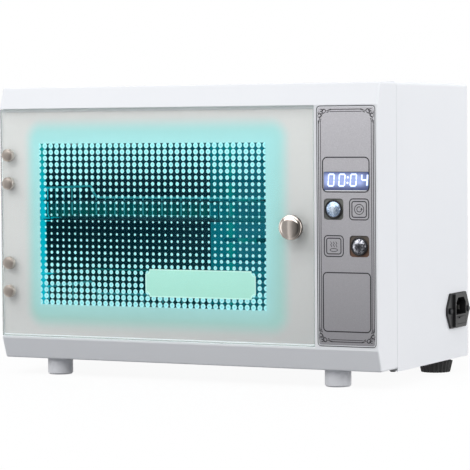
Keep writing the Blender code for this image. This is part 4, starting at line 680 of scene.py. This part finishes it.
def addTurned(node, shape, finishName, steps=72):
    # turns a profile about an axis that points out of the door
    (cx, cz), face = middleOf(node), glassLow.y
    side = {"face": face - shape["sideFrom"] * mm, "tone": shape["sideTone"]}
    finish = makeTurned(finishName, (cx, face, cz), shape["metal"], shape["rough"], side=side)
    points, faces = [], []
    rings = smoothed(shape["profile"])
    for radius, out in rings:
        points += [(x, face - out * mm, z) for x, z in arc(cx, cz, radius * mm, steps=steps)[:-1]]
    for k in range(0, (len(rings) - 1) * steps, steps):
        for i in range(steps):
            j = (i + 1) % steps
            faces.append((k + i, k + j, k + steps + j, k + steps + i))
    piece = addPiece(node + "_turned", points, faces, finish, "door", True)
    mesh = bmesh.new()
    mesh.from_mesh(piece.data)
    bmesh.ops.remove_doubles(mesh, verts=mesh.verts, dist=0.00001)
    bmesh.ops.recalc_face_normals(mesh, faces=mesh.faces)
    for edge in mesh.edges:
        if len(edge.link_faces) == 2 and edge.calc_face_angle() > math.radians(50):
            edge.smooth = False
    mesh.to_mesh(piece.data)
    mesh.free()
    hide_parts(node)


for name in ("hinge_cap_1", "hinge_cap_2", "hinge_cap_3", "hinge_cap_4"):
    addTurned(name, capShape, name.replace("_", "") + "Nickel")
addTurned("door_knob", knobShape, "knobNickel")
plainChrome = makeTurned("plainChrome", (0, 0, 0), tone(214, 215, 217), (0.07, 0.2))
dress(plainChrome, "knob_nut", "hinge_pin_upper", "hinge_pin_lower")
print("caps and knob polished")


# the chamber: stainless sheet, lit blue-green by the tube

chamber = {
    # the steel's base tones are painted dark teal: painted shade and the tube's tint on bare steel
    "sheet": tone(12, 42, 52),
    "cover": tone(10, 84, 94),
    "reflector": tone(190, 205, 208),
    "strip": tone(0, 186, 208),
    "stripTop": tone(0, 158, 148),
    "linerStrip": {"width": 1.5, "depth": (44.0, 48.0, 55.0, 59.0)},
    "railStrip": {"width": 9.0, "depth": (2.0, 4.0, 55.0, 59.0)},
    # how the walls and the cover glow from the floor to the top
    "glow": (
        (0.0, tone(0, 36, 40)), (0.35, tone(0, 24, 32)), (0.505, tone(0, 16, 26)),
        (0.52, tone(0, 74, 70)), (0.575, tone(0, 60, 66)), (0.59, tone(0, 18, 30)),
        (0.68, tone(0, 20, 32)), (0.8, tone(0, 44, 56)), (1.0, tone(0, 84, 90)),
    ),
    "coverGlow": (
        (0.0, tone(0, 66, 72)), (0.3, tone(0, 78, 90)), (0.5, tone(0, 84, 98)),
        (0.62, tone(0, 58, 66)), (0.8, tone(0, 80, 90)), (1.0, tone(0, 112, 112)),
    ),
    "rightLow": tone(0, 70, 78),
    "rightHigh": tone(0, 124, 122),
    "behindSlots": tone(0, 74, 88),
    "coverDimGlow": tone(24, 74, 90),
    "coverGlowStreak": tone(0, 118, 108),
    # a pressed crease round the walls, halfway up the lower half, shown only as a painted line of light
    "crease": 48.6,
    "creaseGlow": tone(24, 128, 128),
}
linerLow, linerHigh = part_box("chamber_liner")
coverLow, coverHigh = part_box("duct_cover")


def glowOfWalls(tree, x, y, rise, glow):
    # the right end is lit more than the left
    more = remap(tree, x, linerHigh.x - 135 * mm, linerHigh.x - 85 * mm, 0.0, 0.9, True)
    glow = blend(tree, more, glow, blend(tree, rise, chamber["rightLow"], chamber["rightHigh"]))
    # seen through the cover's slots, the wall behind is as bright as the cover
    half = (coverHigh.x - coverLow.x) / 2
    aside = remap(tree, apart(tree, x, coverLow.x + half), half - 2 * mm, half - mm, 1.0, 0.0)
    deep = remap(tree, y, coverHigh.y - 0.8 * mm, coverHigh.y - 0.4 * mm)
    return blend(tree, times(tree, aside, deep), glow, chamber["behindSlots"])


def glowOfCover(tree, x, glow):
    # the cover's painted glow is bluer at its left, with one greenish streak of light, and dimmer at its
    # right
    along = remap(tree, x, coverLow.x, coverHigh.x)
    glow = blend(tree, remap(tree, along, 0.24, 0.3, 0.0, 0.6), glow, chamber["coverDimGlow"])
    streak = remap(tree, apart(tree, along, 0.2), 0.01, 0.05, 0.7, 0.0)
    return blend(tree, streak, glow, chamber["coverGlowStreak"])


def glowOfStrip(tree, x, y, rise, glow, strip):
    # an upright strip at the left that catches the lamp's light
    a, b, c, d = (glassLow.y + v * mm for v in strip["depth"])
    edge = linerLow.x + strip["width"] * mm
    band = times(tree, remap(tree, y, a, b, smooth=True), remap(tree, y, c, d, 1.0, 0.0, True))
    band = times(tree, band, remap(tree, x, edge, edge + 1.5 * mm, 1.0, 0.0))
    band = times(tree, band, remap(tree, rise, 0.7, 1.0, 0.9, 0.5))
    lit = blend(tree, remap(tree, rise, 0.6, 0.95), chamber["strip"], chamber["stripTop"])
    return blend(tree, band, glow, lit)


def makeLiner(name, strip=None):
    cover = strip is None
    sheet, stops = ("cover", "coverGlow") if cover else ("sheet", "glow")
    finish, tree, shader = makeSteel(name, chamber[sheet], (0.28, 0.44), streak=0.2)
    x, y, z = axes(tree)
    rise = remap(tree, z, linerLow.z, linerHigh.z)
    glow = toneRamp(tree, rise, chamber[stops])
    if cover:
        glow = glowOfCover(tree, x, glow)
    else:
        glow = glowOfWalls(tree, x, y, rise, glow)
        glow = glowOfStrip(tree, x, y, rise, glow, chamber[strip])
    crease = remap(tree, apart(tree, z, linerLow.z + chamber["crease"] * mm), 0.3 * mm, 0.9 * mm, 0.55, 0.0)
    lightUp(shader, blend(tree, crease, glow, chamber["creaseGlow"]), 1.0)
    return finish


dress(makeLiner("linerSteel", "linerStrip"), "chamber_liner")
dress(makeLiner("railSteel", "railStrip"), "rail_left", "rail_right")
dress(makeLiner("coverSteel"), "duct_cover", "air_duct", "heater_element")
dress(makeSteel("reflectorSteel", chamber["reflector"], (0.12, 0.22))[0], "lamp_reflector")

uvTube = {
    "glass": tone(214, 247, 250),
    "ends": tone(150, 154, 158),
    "light": tone(96, 232, 246),
    "power": 2.2,
}


def makeLampGlass():
    # the tube glows, with darker metal-grey ends
    finish, tree, shader = newFinish("lampGlow", uvTube["glass"], 0.15, Coat_Weight=0.5)
    low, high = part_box("uv_lamp")
    half = (high.x - low.x) / 2
    away = apart(tree, axes(tree)[0], low.x + half)
    ends = remap(tree, away, half - 20 * mm, half - 8 * mm, 1.0, 0.0, True)
    feed(shader, "Base Color", blend(tree, ends, uvTube["ends"], uvTube["glass"]))
    lightUp(shader, blend(tree, ends, (0, 0, 0, 1), uvTube["light"]), uvTube["power"])
    dent(shader, grain(tree, 120, 2), 0.03, 0.0001)
    return finish


dress(makeLampGlass(), "uv_lamp")
print("chamber lit")


# wire baskets, bent from round wire: thick rims, thin bars

basketWire = {
    "rim": 1.0, "bar": 0.5, "bars": 27, "rows": 6,
    "bend": 5.0, "endHeight": 18.5, "cornerWidth": 4.0, "dipRun": 5.0,
    # the wire's teal is the chamber light's tint painted into the steel's tones, and unlit is painted shade
    "steel": tone(70, 124, 132), "steelDark": tone(56, 108, 118), "steelLight": tone(88, 146, 154),
    "unlit": tone(8, 34, 42), "dimLeft": tone(0, 24, 32), "dimRight": tone(0, 92, 102),
    "lit": tone(26, 150, 160), "power": 0.7,
}


def bentPath(points, bend, closed=False, steps=5):
    # rounds each corner of a path by a short curve
    path, count = [], len(points)
    for i, point in enumerate(points):
        point = Vector(point)
        if not closed and i in (0, count - 1):
            path.append(point)
            continue
        before, after = Vector(points[i - 1]), Vector(points[(i + 1) % count])
        cutOff = min(bend, (before - point).length * 0.48, (after - point).length * 0.48)
        start = point + (before - point).normalized() * cutOff
        end = point + (after - point).normalized() * cutOff
        for k in range(steps + 1):
            t = k / steps
            path.append(start * (1 - t) ** 2 + point * 2 * t * (1 - t) + end * t * t)
    return path


def wirePiece(name, paths, finish, body):
    curve = bpy.data.curves.new(name, "CURVE")
    curve.dimensions = "3D"
    curve.bevel_depth = 1.0
    curve.bevel_resolution = 3
    curve.use_fill_caps = True
    for path, radius, closed in paths:
        spline = curve.splines.new("POLY")
        spline.points.add(len(path) - 1)
        for spot, point in zip(spline.points, path):
            spot.co = (*point, 1)
            spot.radius = radius
        spline.use_cyclic_u = closed
    maker = addObject(name + "_line", curve)
    bpy.context.view_layer.update()
    mesh = bpy.data.meshes.new_from_object(maker.evaluated_get(bpy.context.evaluated_depsgraph_get()))
    bpy.data.objects.remove(maker)
    mesh.name = name
    mesh.materials.clear()
    mesh.materials.append(finish)
    mesh.polygons.foreach_set("use_smooth", [True] * len(mesh.polygons))
    piece = addObject(name, mesh)
    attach(piece, body)
    return piece


def makeWireFinish(node):
    finish, tree, shader = newFinish(node.replace("_b", "B") + "Wire", basketWire["steel"], 0.3, 0.9)
    low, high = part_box(node)
    patches = grain(tree, 90, 3)
    color = blend(tree, patches, basketWire["steelDark"], basketWire["steelLight"])
    feed(shader, "Roughness", remap(tree, grain(tree, 500, 2), 0.3, 0.7, 0.24, 0.38))
    x, y, z = axes(tree)
    fromLeft, fromFront = minus(tree, x, linerLow.x), minus(tree, y, linerLow.y)
    # the wires at the back catch the light, those near the door are lost in the dark
    rise = remap(tree, z, linerLow.z, linerHigh.z, 0.45, 1.0)
    far = remap(tree, fromFront, 25 * mm, 70 * mm, 0.05, 1.0)
    # each wire that has the bright back behind it is as bright as that
    shifted = calc(tree, "MULTIPLY_ADD", fromFront, 0.65, fromLeft)
    right = remap(tree, shifted, 200 * mm, 208 * mm)
    dim = blend(tree, right, basketWire["dimLeft"], basketWire["dimRight"])
    # the floor wires stay dark, but for the one along the back
    floorWire = remap(tree, z, low.z + 1.8 * mm, low.z + 3.4 * mm, 0.12, 1.0)
    backWire = remap(tree, y, high.y - 3.0 * mm, high.y - 2.0 * mm)
    far = times(tree, far, calc(tree, "MAXIMUM", floorWire, backWire))
    feed(shader, "Base Color", blend(tree, far, basketWire["unlit"], color))
    lit = blend(tree, times(tree, rise, far), dim, basketWire["lit"])
    # beside the lit strip a wire is painted with the strip's light
    beside = times(tree, remap(tree, fromLeft, 17 * mm, 19 * mm, 1.0, 0.0),
                   remap(tree, fromFront, 45 * mm, 60 * mm, 1.0, 0.0))
    lightUp(shader, blend(tree, beside, lit, chamber["strip"]), basketWire["power"])
    dent(shader, patches, 0.05, 0.00005)
    return finish


def addBasket(node):
    low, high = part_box(node)
    rim, bar, bend = basketWire["rim"] * mm, basketWire["bar"] * mm, basketWire["bend"] * mm
    x0, x1 = low.x + rim, high.x - rim
    y0, y1 = low.y + rim, high.y - rim
    top, base = high.z - rim, low.z + rim
    endTop = low.z + basketWire["endHeight"] * mm - rim
    corner, run = basketWire["cornerWidth"] * mm, basketWire["dipRun"] * mm
    side = [(x0, top), (x0 + corner, top), (x0 + corner + run, endTop)]
    side += [(x1 - corner - run, endTop), (x1 - corner, top), (x1, top)]
    rimPath = [(x, y0, z) for x, z in side] + [(x, y1, z) for x, z in side[::-1]]
    basePath = [(x0, y0, base), (x1, y0, base), (x1, y1, base), (x0, y1, base)]
    paths = [(bentPath(rimPath, bend, True), rim, True), (bentPath(basePath, bend, True), rim * 0.75, True)]
    inX0, inX1, inY0, inY1 = x0 + bar, x1 - bar, y0 + bar, y1 - bar
    for i in range(basketWire["bars"]):
        x = x0 + (x1 - x0) * (i + 1) / (basketWire["bars"] + 1)
        up = [(x, inY0, endTop), (x, inY0, base), (x, inY1, base), (x, inY1, endTop)]
        paths.append((bentPath(up, bend * 0.3), bar, False))
    for i in range(basketWire["rows"]):
        y = y0 + (y1 - y0) * (i + 1) / (basketWire["rows"] + 1)
        up = [(inX0, y, top), (inX0, y, base + bar), (inX1, y, base + bar), (inX1, y, top)]
        paths.append((bentPath(up, bend * 0.8), bar, False))
    piece = wirePiece(node + "_wires", paths, makeWireFinish(node), node)
    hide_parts(node)


addBasket("upper_basket")
addBasket("lower_basket")
print("baskets bent")


# control plate: sparkling silver film with a printed border

plateLow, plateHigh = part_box("control_plate")
panelSilver = {
    "base": tone(232, 230, 235),
    "dark": tone(212, 210, 215),
    "flash": tone(246, 246, 250),
    "foot": tone(112, 111, 115),
}
panelInk = {
    "proud": 0.04,
    "outerLine": {"aside": 1.6, "low": 3.9, "high": 3.0, "width": 0.62},
    "innerLine": {"aside": 3.5, "low": 5.6, "high": 4.8, "width": 0.5},
    "edgeLine": {"aside": 0.3, "low": 0.3, "high": 0.3, "width": 0.42, "corner": 2.4},
    "highlightEdge": {"aside": 0.85, "low": 0.85, "high": 0.85, "width": 0.5, "corner": 2.0},
    "flourish": 12.0,
    "displayFrame": {"left": 5.2, "width": 41.4, "low": 126.4, "height": 28.2, "corner": 4.0},
    "lowFrame": {"left": 5.2, "width": 42.2, "low": 12.3, "height": 48.2, "corner": 3.4},
    "frameLine": 0.95,
    "ink": tone(40, 38, 42),
    "highlightInk": tone(232, 236, 244),
}


def flakes(tree, scale):
    # small cells, each with a value of its own
    cells = put(tree, "TexVoronoi", {"Vector": place(tree), "Scale": scale})
    return put(tree, "SeparateColor", {0: cells.outputs["Color"]}).outputs[0]


def makeSilver():
    finish, tree, shader = newFinish("panelSilver", panelSilver["base"], 0.42, 0.3)
    flash = flakes(tree, 3200.0)
    color = blend(tree, flash, panelSilver["dark"], panelSilver["base"])
    color = blend(tree, remap(tree, flash, 0.93, 1.0, 0.0, 0.8), color, panelSilver["flash"])
    color = blend(tree, times(tree, grain(tree, 60, 2), 0.12), color, panelSilver["dark"])
    # painted shade: the film is a little darker towards its foot
    foot = remap(tree, axes(tree)[2], plateLow.z, plateHigh.z, 0.7, 0.09)
    feed(shader, "Base Color", blend(tree, foot, color, panelSilver["foot"]))
    feed(shader, "Roughness", remap(tree, flash, 0.0, 1.0, 0.34, 0.52))
    dent(shader, flash, 0.10, 0.00004)
    return finish


def makeInk(name, color):
    finish, tree, shader = newFinish(name, color, 0.5)
    feed(shader, "Base Color", blend(tree, grain(tree, 1500, 2), color, scaled(color, 1.5)))
    dent(shader, grain(tree, 2500, 2), 0.08, 0.00003)
    return finish


dress(makeSilver(), "control_plate", "auto_key", "drying_key")
darkInk = makeInk("panelInk", panelInk["ink"])


def fromPlate(part):
    x0 = plateLow.x + part["left"] * mm
    z0 = plateLow.z + part["low"] * mm
    return x0, x0 + part["width"] * mm, z0, z0 + part["height"] * mm


def addFlourish(ink, cornerX, cornerZ, flipX, flipZ):
    # scrolls with small leaves, in pairs, between the ends of the border lines
    size = panelInk["flourish"] * mm
    strokes = [
        (arc(0.42, -0.10, 0.10, 200, -190, 20, 0.45), 0.55),
        (arc(0.10, -0.42, 0.10, 250, 640, 20, 0.45), 0.55),
        (arc(0.20, -0.20, 0.07, 135, -200, 16, 0.4), 0.5),
    ]
    for leaf, width in (
        ([(0.95, 0.0), (0.8, -0.03), (0.66, -0.10), (0.56, -0.06)], 0.55),
        ([(0.30, -0.04), (0.22, 0.02), (0.10, 0.0)], 0.5),
        ([(0.62, -0.20), (0.74, -0.17), (0.86, -0.09)], 0.45),
        ([(0.30, -0.30), (0.38, -0.26), (0.46, -0.28)], 0.4),
    ):
        strokes += [(leaf, width), ([(-z, -x) for x, z in leaf], width)]
    for line, width in strokes:
        turned = [(cornerX + flipX * x * size, cornerZ + flipZ * z * size) for x, z in line]
        ink.stroke(turned, 1.9 * width * mm, taper=True)


def insidePlate(line):
    x0, x1 = plateLow.x + line["aside"] * mm, plateHigh.x - line["aside"] * mm
    return x0, x1, plateLow.z + line["low"] * mm, plateHigh.z - line["high"] * mm


def strokeRound(ink, line):
    ink.stroke(roundedLoop(*insidePlate(line), line["corner"] * mm), line["width"] * mm, closed=True)


def addPanelPrint():
    ink = Ink(plateLow.y - panelInk["proud"] * mm)
    gap = panelInk["flourish"] * mm
    for line in (panelInk["outerLine"], panelInk["innerLine"]):
        x0, x1, z0, z1 = insidePlate(line)
        for z in (z0, z1):
            ink.stroke([(plateLow.x + gap, z), (plateHigh.x - gap, z)], line["width"] * mm)
        for x in (x0, x1):
            ink.stroke([(x, plateLow.z + gap), (x, plateHigh.z - gap)], line["width"] * mm)
    x0, x1, z0, z1 = insidePlate(panelInk["outerLine"])
    for x, flipX in ((x0, 1), (x1, -1)):
        for z, flipZ in ((z1, 1), (z0, -1)):
            addFlourish(ink, x, z, flipX, flipZ)
    strokeRound(ink, panelInk["edgeLine"])
    for part in (panelInk["displayFrame"], panelInk["lowFrame"]):
        frameLoop = roundedLoop(*fromPlate(part), part["corner"] * mm)
        ink.stroke(frameLoop, panelInk["frameLine"] * mm, closed=True)
    ink.finish("panel_border_print", darkInk, "cabinet", "panel_silver")
    # painted highlights: a light line under the window of the clock, and one round the plate's rim
    light = Ink(plateLow.y - panelInk["proud"] * mm)
    x0, x1, z0, z1 = fromPlate(panelInk["displayFrame"])
    light.stroke([(x0 + 2.2 * mm, z0 + 1.0 * mm), (x1 - 2.2 * mm, z0 + 1.0 * mm)], 0.7 * mm)
    strokeRound(light, panelInk["highlightEdge"])
    light.finish("panel_painted_highlights", makeInk("paintedHighlightLine", panelInk["highlightInk"]), "cabinet", "panel_silver")


addPanelPrint()


# printed keys: a double rounded square each, with a ring or with steam over an oval

keyPrint = {
    "outer": 8.5, "outerCorner": 3.0, "inner": 6.4, "innerCorner": 1.8, "line": 0.85,
    "ring": 4.1, "arrow": 2.1, "ringLine": 0.6,
    "oval": (3.4, 1.2), "ovalDown": 3.2, "ovalLine": 0.5, "steam": (-2.3, 0.0, 2.3), "steamLine": 0.45,
}


def addKeyPrint(node, symbol):
    cx, cz = middleOf(node)
    ink = Ink(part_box(node)[0].y - panelInk["proud"] * mm)
    for part in ("outer", "inner"):
        half = keyPrint[part] * mm
        loop = roundedLoop(cx - half, cx + half, cz - half, cz + half, keyPrint[part + "Corner"] * mm)
        ink.stroke(loop, keyPrint["line"] * mm, closed=True)
    if symbol == "ring":
        ink.stroke(arc(cx, cz, keyPrint["ring"] * mm)[:-1], keyPrint["ringLine"] * mm, closed=True)
        # a turning arrow inside the ring, for running by itself
        arrow = keyPrint["arrow"]
        ink.stroke(arc(cx, cz, arrow * mm, 60, 350, 16), keyPrint["ringLine"] * mm)
        head = ((arrow - 1.1, -0.2), (arrow + 1.1, -0.2), (arrow, 1.4))
        ink.patch([(cx + x * mm, cz + z * mm) for x, z in head])
    else:
        wide, tall = (size * mm for size in keyPrint["oval"])
        middle = cz - keyPrint["ovalDown"] * mm
        oval = [(cx + wide * cos, middle + tall * sin) for cos, sin in arc(0, 0, 1)[:-1]]
        ink.stroke(oval, keyPrint["ovalLine"] * mm, closed=True)
        for x in keyPrint["steam"]:
            wave = [(x + 0.55 * math.sin(i * 1.05), i * 0.42 - 0.9) for i in range(12)]
            ink.stroke([(cx + px * mm, cz + pz * mm) for px, pz in wave], keyPrint["steamLine"] * mm)
    ink.finish(node + "_print", darkInk, node, "panel_silver")


addKeyPrint("auto_key", "ring")
addKeyPrint("drying_key", "steam")


# push keys: a dark square recess, a black ring and a cut dome

pushKeys = {
    "power_key": {
        "recess": tone(128, 129, 124), "low": tone(104, 106, 102),
        "dome": tone(196, 212, 230), "deep": tone(120, 146, 182),
        "radius": 6.4, "glow": 0.22, "cells": 1500.0, "heart": 0.7, "heartTone": tone(226, 238, 250),
    },
    "lamp_key": {
        "recess": tone(104, 98, 90), "low": tone(112, 80, 62),
        "dome": tone(214, 216, 224), "deep": tone(52, 52, 64),
        "radius": 6.2, "glow": 0.0, "cells": 760.0, "heart": 0.85, "heartTone": tone(26, 26, 34),
    },
}
keyRingBlack = tone(24, 24, 27)


def makeRecess(name, look, cz):
    finish, tree, shader = newFinish(name + "Recess", look["recess"], 0.35)
    # painted shade: towards its foot the recess turns to its lower tone
    shade = remap(tree, axes(tree)[2], cz - 8 * mm, cz + 8 * mm)
    feed(shader, "Base Color", blend(tree, shade, look["low"], look["recess"]))
    dent(shader, grain(tree, 1200, 2), 0.1, 0.00005)
    return finish


def makeDome(name, look, cx, cz):
    # facets painted in many tones as the glints of a cut dome, and a heart: on the power key a painted
    # highlight, on the lamp key its black centre
    finish, tree, shader = newFinish(name + "Dome", look["dome"], 0.12, 0.8)
    shine = flakes(tree, look["cells"])
    x, z = axes(tree)[::2]
    away = reach(tree, minus(tree, x, cx), minus(tree, z, cz))
    heart = remap(tree, away, 0.5 * mm, 4.5 * mm, look["heart"], 0.0, True)
    color = blend(tree, heart, blend(tree, shine, look["deep"], look["dome"]), look["heartTone"])
    feed(shader, "Base Color", color)
    feed(shader, "Roughness", remap(tree, shine, 0.0, 1.0, 0.08, 0.3))
    if look["glow"]:
        lightUp(shader, color, look["glow"])
    return finish


def addDome(node, finish, centre, radius, rise, rings=5, around=14):
    # rings of points, every other one turned by half a step, joined by flat triangles
    cx, face, cz = centre
    points = [(cx, face - rise, cz)]
    for ring in range(1, rings + 1):
        t, turn = ring / rings, 180 / around * (ring % 2)
        y = face - rise * (1 - t * t)
        points += [(x, y, z) for x, z in arc(cx, cz, radius * t, turn, turn + 360, around)[:-1]]
    faces = [(0, 1 + (i + 1) % around, 1 + i) for i in range(around)]
    for ring in range(rings - 1):
        a, b = 1 + ring * around, 1 + (ring + 1) * around
        for i in range(around):
            j = (i + 1) % around
            if ring % 2:
                faces += [(a + i, a + j, b + i), (a + j, b + j, b + i)]
            else:
                faces += [(a + i, b + j, b + i), (a + i, a + j, b + j)]
    addPiece(node + "_dome", points, faces, finish, node)


def addKeyRing(node, finish, centre, radius, around=40, tube=10):
    # a bead round the dome
    cx, face, cz = centre
    points, faces = [], []
    for cosTurn, sinTurn in arc(0, 0, 1, steps=around)[:-1]:
        for cos, sin in arc(0, 0, 1, steps=tube)[:-1]:
            out = radius + (0.6 + 0.8 * cos) * mm
            points.append((cx + out * cosTurn, face + (0.1 + 0.6 * sin) * mm, cz + out * sinTurn))
    for i in range(around):
        a, b = i * tube, (i + 1) % around * tube
        for k in range(tube):
            j = (k + 1) % tube
            faces.append((a + k, a + j, b + j, b + k))
    addPiece(node + "_ring", points, faces, finish, node, True)


def addPushKey(node, look):
    cx, cz = middleOf(node)
    centre = (cx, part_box(node)[0].y + 0.5 * mm, cz)
    name, radius = node.replace("_", ""), look["radius"] * mm
    dress(makeRecess(name, look, cz), node)
    addDome(node, makeDome(name, look, cx, cz), centre, radius, 2.0 * mm)
    addKeyRing(node, makeMoulded(name + "Ring", keyRingBlack, (0.2, 0.35), 900, 0.06), centre, radius)


for node, look in pushKeys.items():
    addPushKey(node, look)
print("keys done")


# the lit clock: white seven-bar digits on a blue-violet strip

clock = {
    "digits": "0004",
    "starts": (3.6, 13.2, 23.4, 33.2),
    "width": 5.0,
    "low": 3.6,
    "height": 9.3,
    "bar": 1.0,
    "lean": 0.08,
    "strip": tone(158, 174, 226),
    "deep": tone(34, 42, 86),
    "cloud": tone(96, 112, 160),
    "digit": tone(232, 240, 255),
    "halo": tone(120, 140, 190),
    "haloLit": (tone(140, 164, 222), tone(168, 190, 236)),
}
lensLow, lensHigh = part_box("display_lens")
litBars = {"0": "abcdef", "4": "bcfg"}
barEnds = {
    "a": ((0, 1), (1, 1)), "b": ((1, 1), (1, 0.5)), "c": ((1, 0.5), (1, 0)), "d": ((0, 0), (1, 0)),
    "e": ((0, 0.5), (0, 0)), "f": ((0, 1), (0, 0.5)), "g": ((0, 0.5), (1, 0.5)),
}


def makeLens():
    finish, tree, shader = newFinish("clockLens", clock["deep"], 0.12, Coat_Weight=1.0, Coat_Roughness=0.04)
    x, z = axes(tree)[::2]
    up, across = remap(tree, z, lensLow.z, lensHigh.z), remap(tree, x, lensLow.x, lensHigh.x)
    # brightest near the middle
    hump = remap(tree, apart(tree, up, 0.56), 0.12, 0.52, 1.0, 0.0, True)
    hump = times(tree, hump, remap(tree, apart(tree, across, 0.44), 0.36, 0.56, 1.0, 0.25, True))
    color = blend(tree, hump, clock["deep"], clock["strip"])
    color = blend(tree, times(tree, grain(tree, 150, 2), 0.5), color, clock["cloud"])
    feed(shader, "Base Color", color)
    lightUp(shader, color, 0.55)
    return finish


def makeLight(name, color, first, second, spots, power):
    finish, tree, shader = newFinish(name, color, 0.3)
    lightUp(shader, blend(tree, grain(tree, spots, 2), first, second), power)
    return finish


def addClock():
    ink, halo = Ink(lensLow.y - 0.08 * mm), Ink(lensLow.y - 0.04 * mm)
    wide, tall, bar = (clock[key] * mm for key in ("width", "height", "bar"))
    z0, lean = lensLow.z + clock["low"] * mm, clock["lean"]
    for digit, start in zip(clock["digits"], clock["starts"]):
        x0 = lensLow.x + start * mm
        for key in litBars[digit]:
            p, q = (Vector((x * wide, z * tall)) for x, z in barEnds[key])
            halo.stroke([(x0 + v.x + lean * v.y, z0 + v.y) for v in (p, q)], bar * 2.2)
            d = (q - p).normalized()
            n = Vector((-d.y, d.x)) * bar / 2
            p, q = p + d * bar * 0.12, q - d * bar * 0.12
            loop = [p, p + d * bar / 2 - n, q - d * bar / 2 - n, q, q - d * bar / 2 + n, p + d * bar / 2 + n]
            ink.patch([(x0 + v.x + lean * v.y, z0 + v.y) for v in loop])
    xDot = lensLow.x + (clock["starts"][1] + clock["starts"][2] + clock["width"]) / 2 * mm
    for up in (0.26 * tall, 0.74 * tall):
        ink.patch(arc(xDot + lean * up, z0 + up, 0.85 * mm, steps=12)[:-1])
    lit = makeLight("clockDigits", clock["digit"], clock["digit"], (1, 1, 1, 1), 700, 1.0)
    soft = makeLight("clockGlow", clock["halo"], *clock["haloLit"], 500, 0.6)
    ink.finish("clock_digits", lit, "cabinet", "display_lens")
    halo.finish("clock_digit_glow", soft, "cabinet", "display_lens")


dress(makeLens(), "display_lens")
addClock()
print("clock lit")


# what is left: plastics, rubber, board, small metal

rest = {
    "inlet_body": makeMoulded("inletPlastic", tone(24, 24, 26), (0.38, 0.5), 1400, 0.14),
    "fuse_drawer": makeMoulded("drawerPlastic", tone(30, 30, 32), (0.4, 0.5), 1400, 0.14),
    "fan_frame": makeMoulded("fanPlastic", tone(26, 27, 29)),
    "fan_rotor": makeMoulded("rotorPlastic", tone(32, 33, 36)),
    "display_module": makeMoulded("modulePlastic", tone(20, 20, 24)),
    "rear_foot_left": makeMoulded("footRubber", tone(13, 13, 14), (0.55, 0.75), 800, 0.3),
    "front_foot_left": makeMoulded("paleFoot", tone(230, 231, 235), (0.36, 0.5), 900, 0.1, 1.04),
    "ballast": makeMoulded("ballastCase", tone(222, 222, 218), (0.4, 0.55), 500, 0.1, 1.05),
    "lamp_socket_left": makeMoulded("socketWhite", tone(232, 234, 234), (0.3, 0.42), 900, 0.08, 1.04),
    "catch_magnet": makeMoulded("magnetBrown", tone(84, 62, 48), (0.5, 0.65), 900, 0.2),
    "rear_screw_1": makeTurned("blackScrew", (0, 0, 0), tone(46, 47, 50), (0.25, 0.4)),
    "inlet_pin_live": makeTurned("pinSilver", (0, 0, 0), tone(226, 226, 222), (0.2, 0.35), "X"),
}
same = {
    "rear_foot_left": ["rear_foot_right"],
    "front_foot_left": ["front_foot_right"],
    "lamp_socket_left": ["lamp_socket_right", "door_switch"],
    "rear_screw_1": [
        "rear_screw_2", "rear_screw_3", "rear_screw_4", "base_screw_left", "base_screw_right",
        "inlet_screw_front", "inlet_screw_rear",
    ],
    "inlet_pin_live": ["inlet_pin_neutral", "inlet_pin_earth"],
}
for name, finish in rest.items():
    dress(finish, name, *same.get(name, []))
# the fan is seen through the slots in the chamber's light
lightUp(rest["fan_frame"].node_tree.nodes["Principled BSDF"], tone(0, 52, 62), 1.0)

zincSheet = makeSteel("zincSheet", tone(176, 178, 180), (0.3, 0.45), (30, 1, 30), 0.18)[0]
dress(zincSheet, "base_plate", "hinge_bracket_upper", "hinge_bracket_lower", "door_strike")

board = {
    "green": tone(24, 92, 56),
    "bricks": {"Color1": tone(22, 88, 52), "Color2": tone(30, 108, 66), "Mortar": tone(16, 66, 40)},
}


def makeBoard():
    finish, tree, shader = newFinish("boardGreen", board["green"], 0.3, Coat_Weight=0.4)
    sockets = {"Vector": place(tree), "Scale": 180.0, "Mortar Size": 0.03, **board["bricks"]}
    tracks = put(tree, "TexBrick", sockets)
    feed(shader, "Base Color", tracks.outputs[0])
    dent(shader, tracks.outputs["Fac"], 0.1, 0.00005)
    return finish


dress(makeBoard(), "control_board")
print("all nodes dressed")
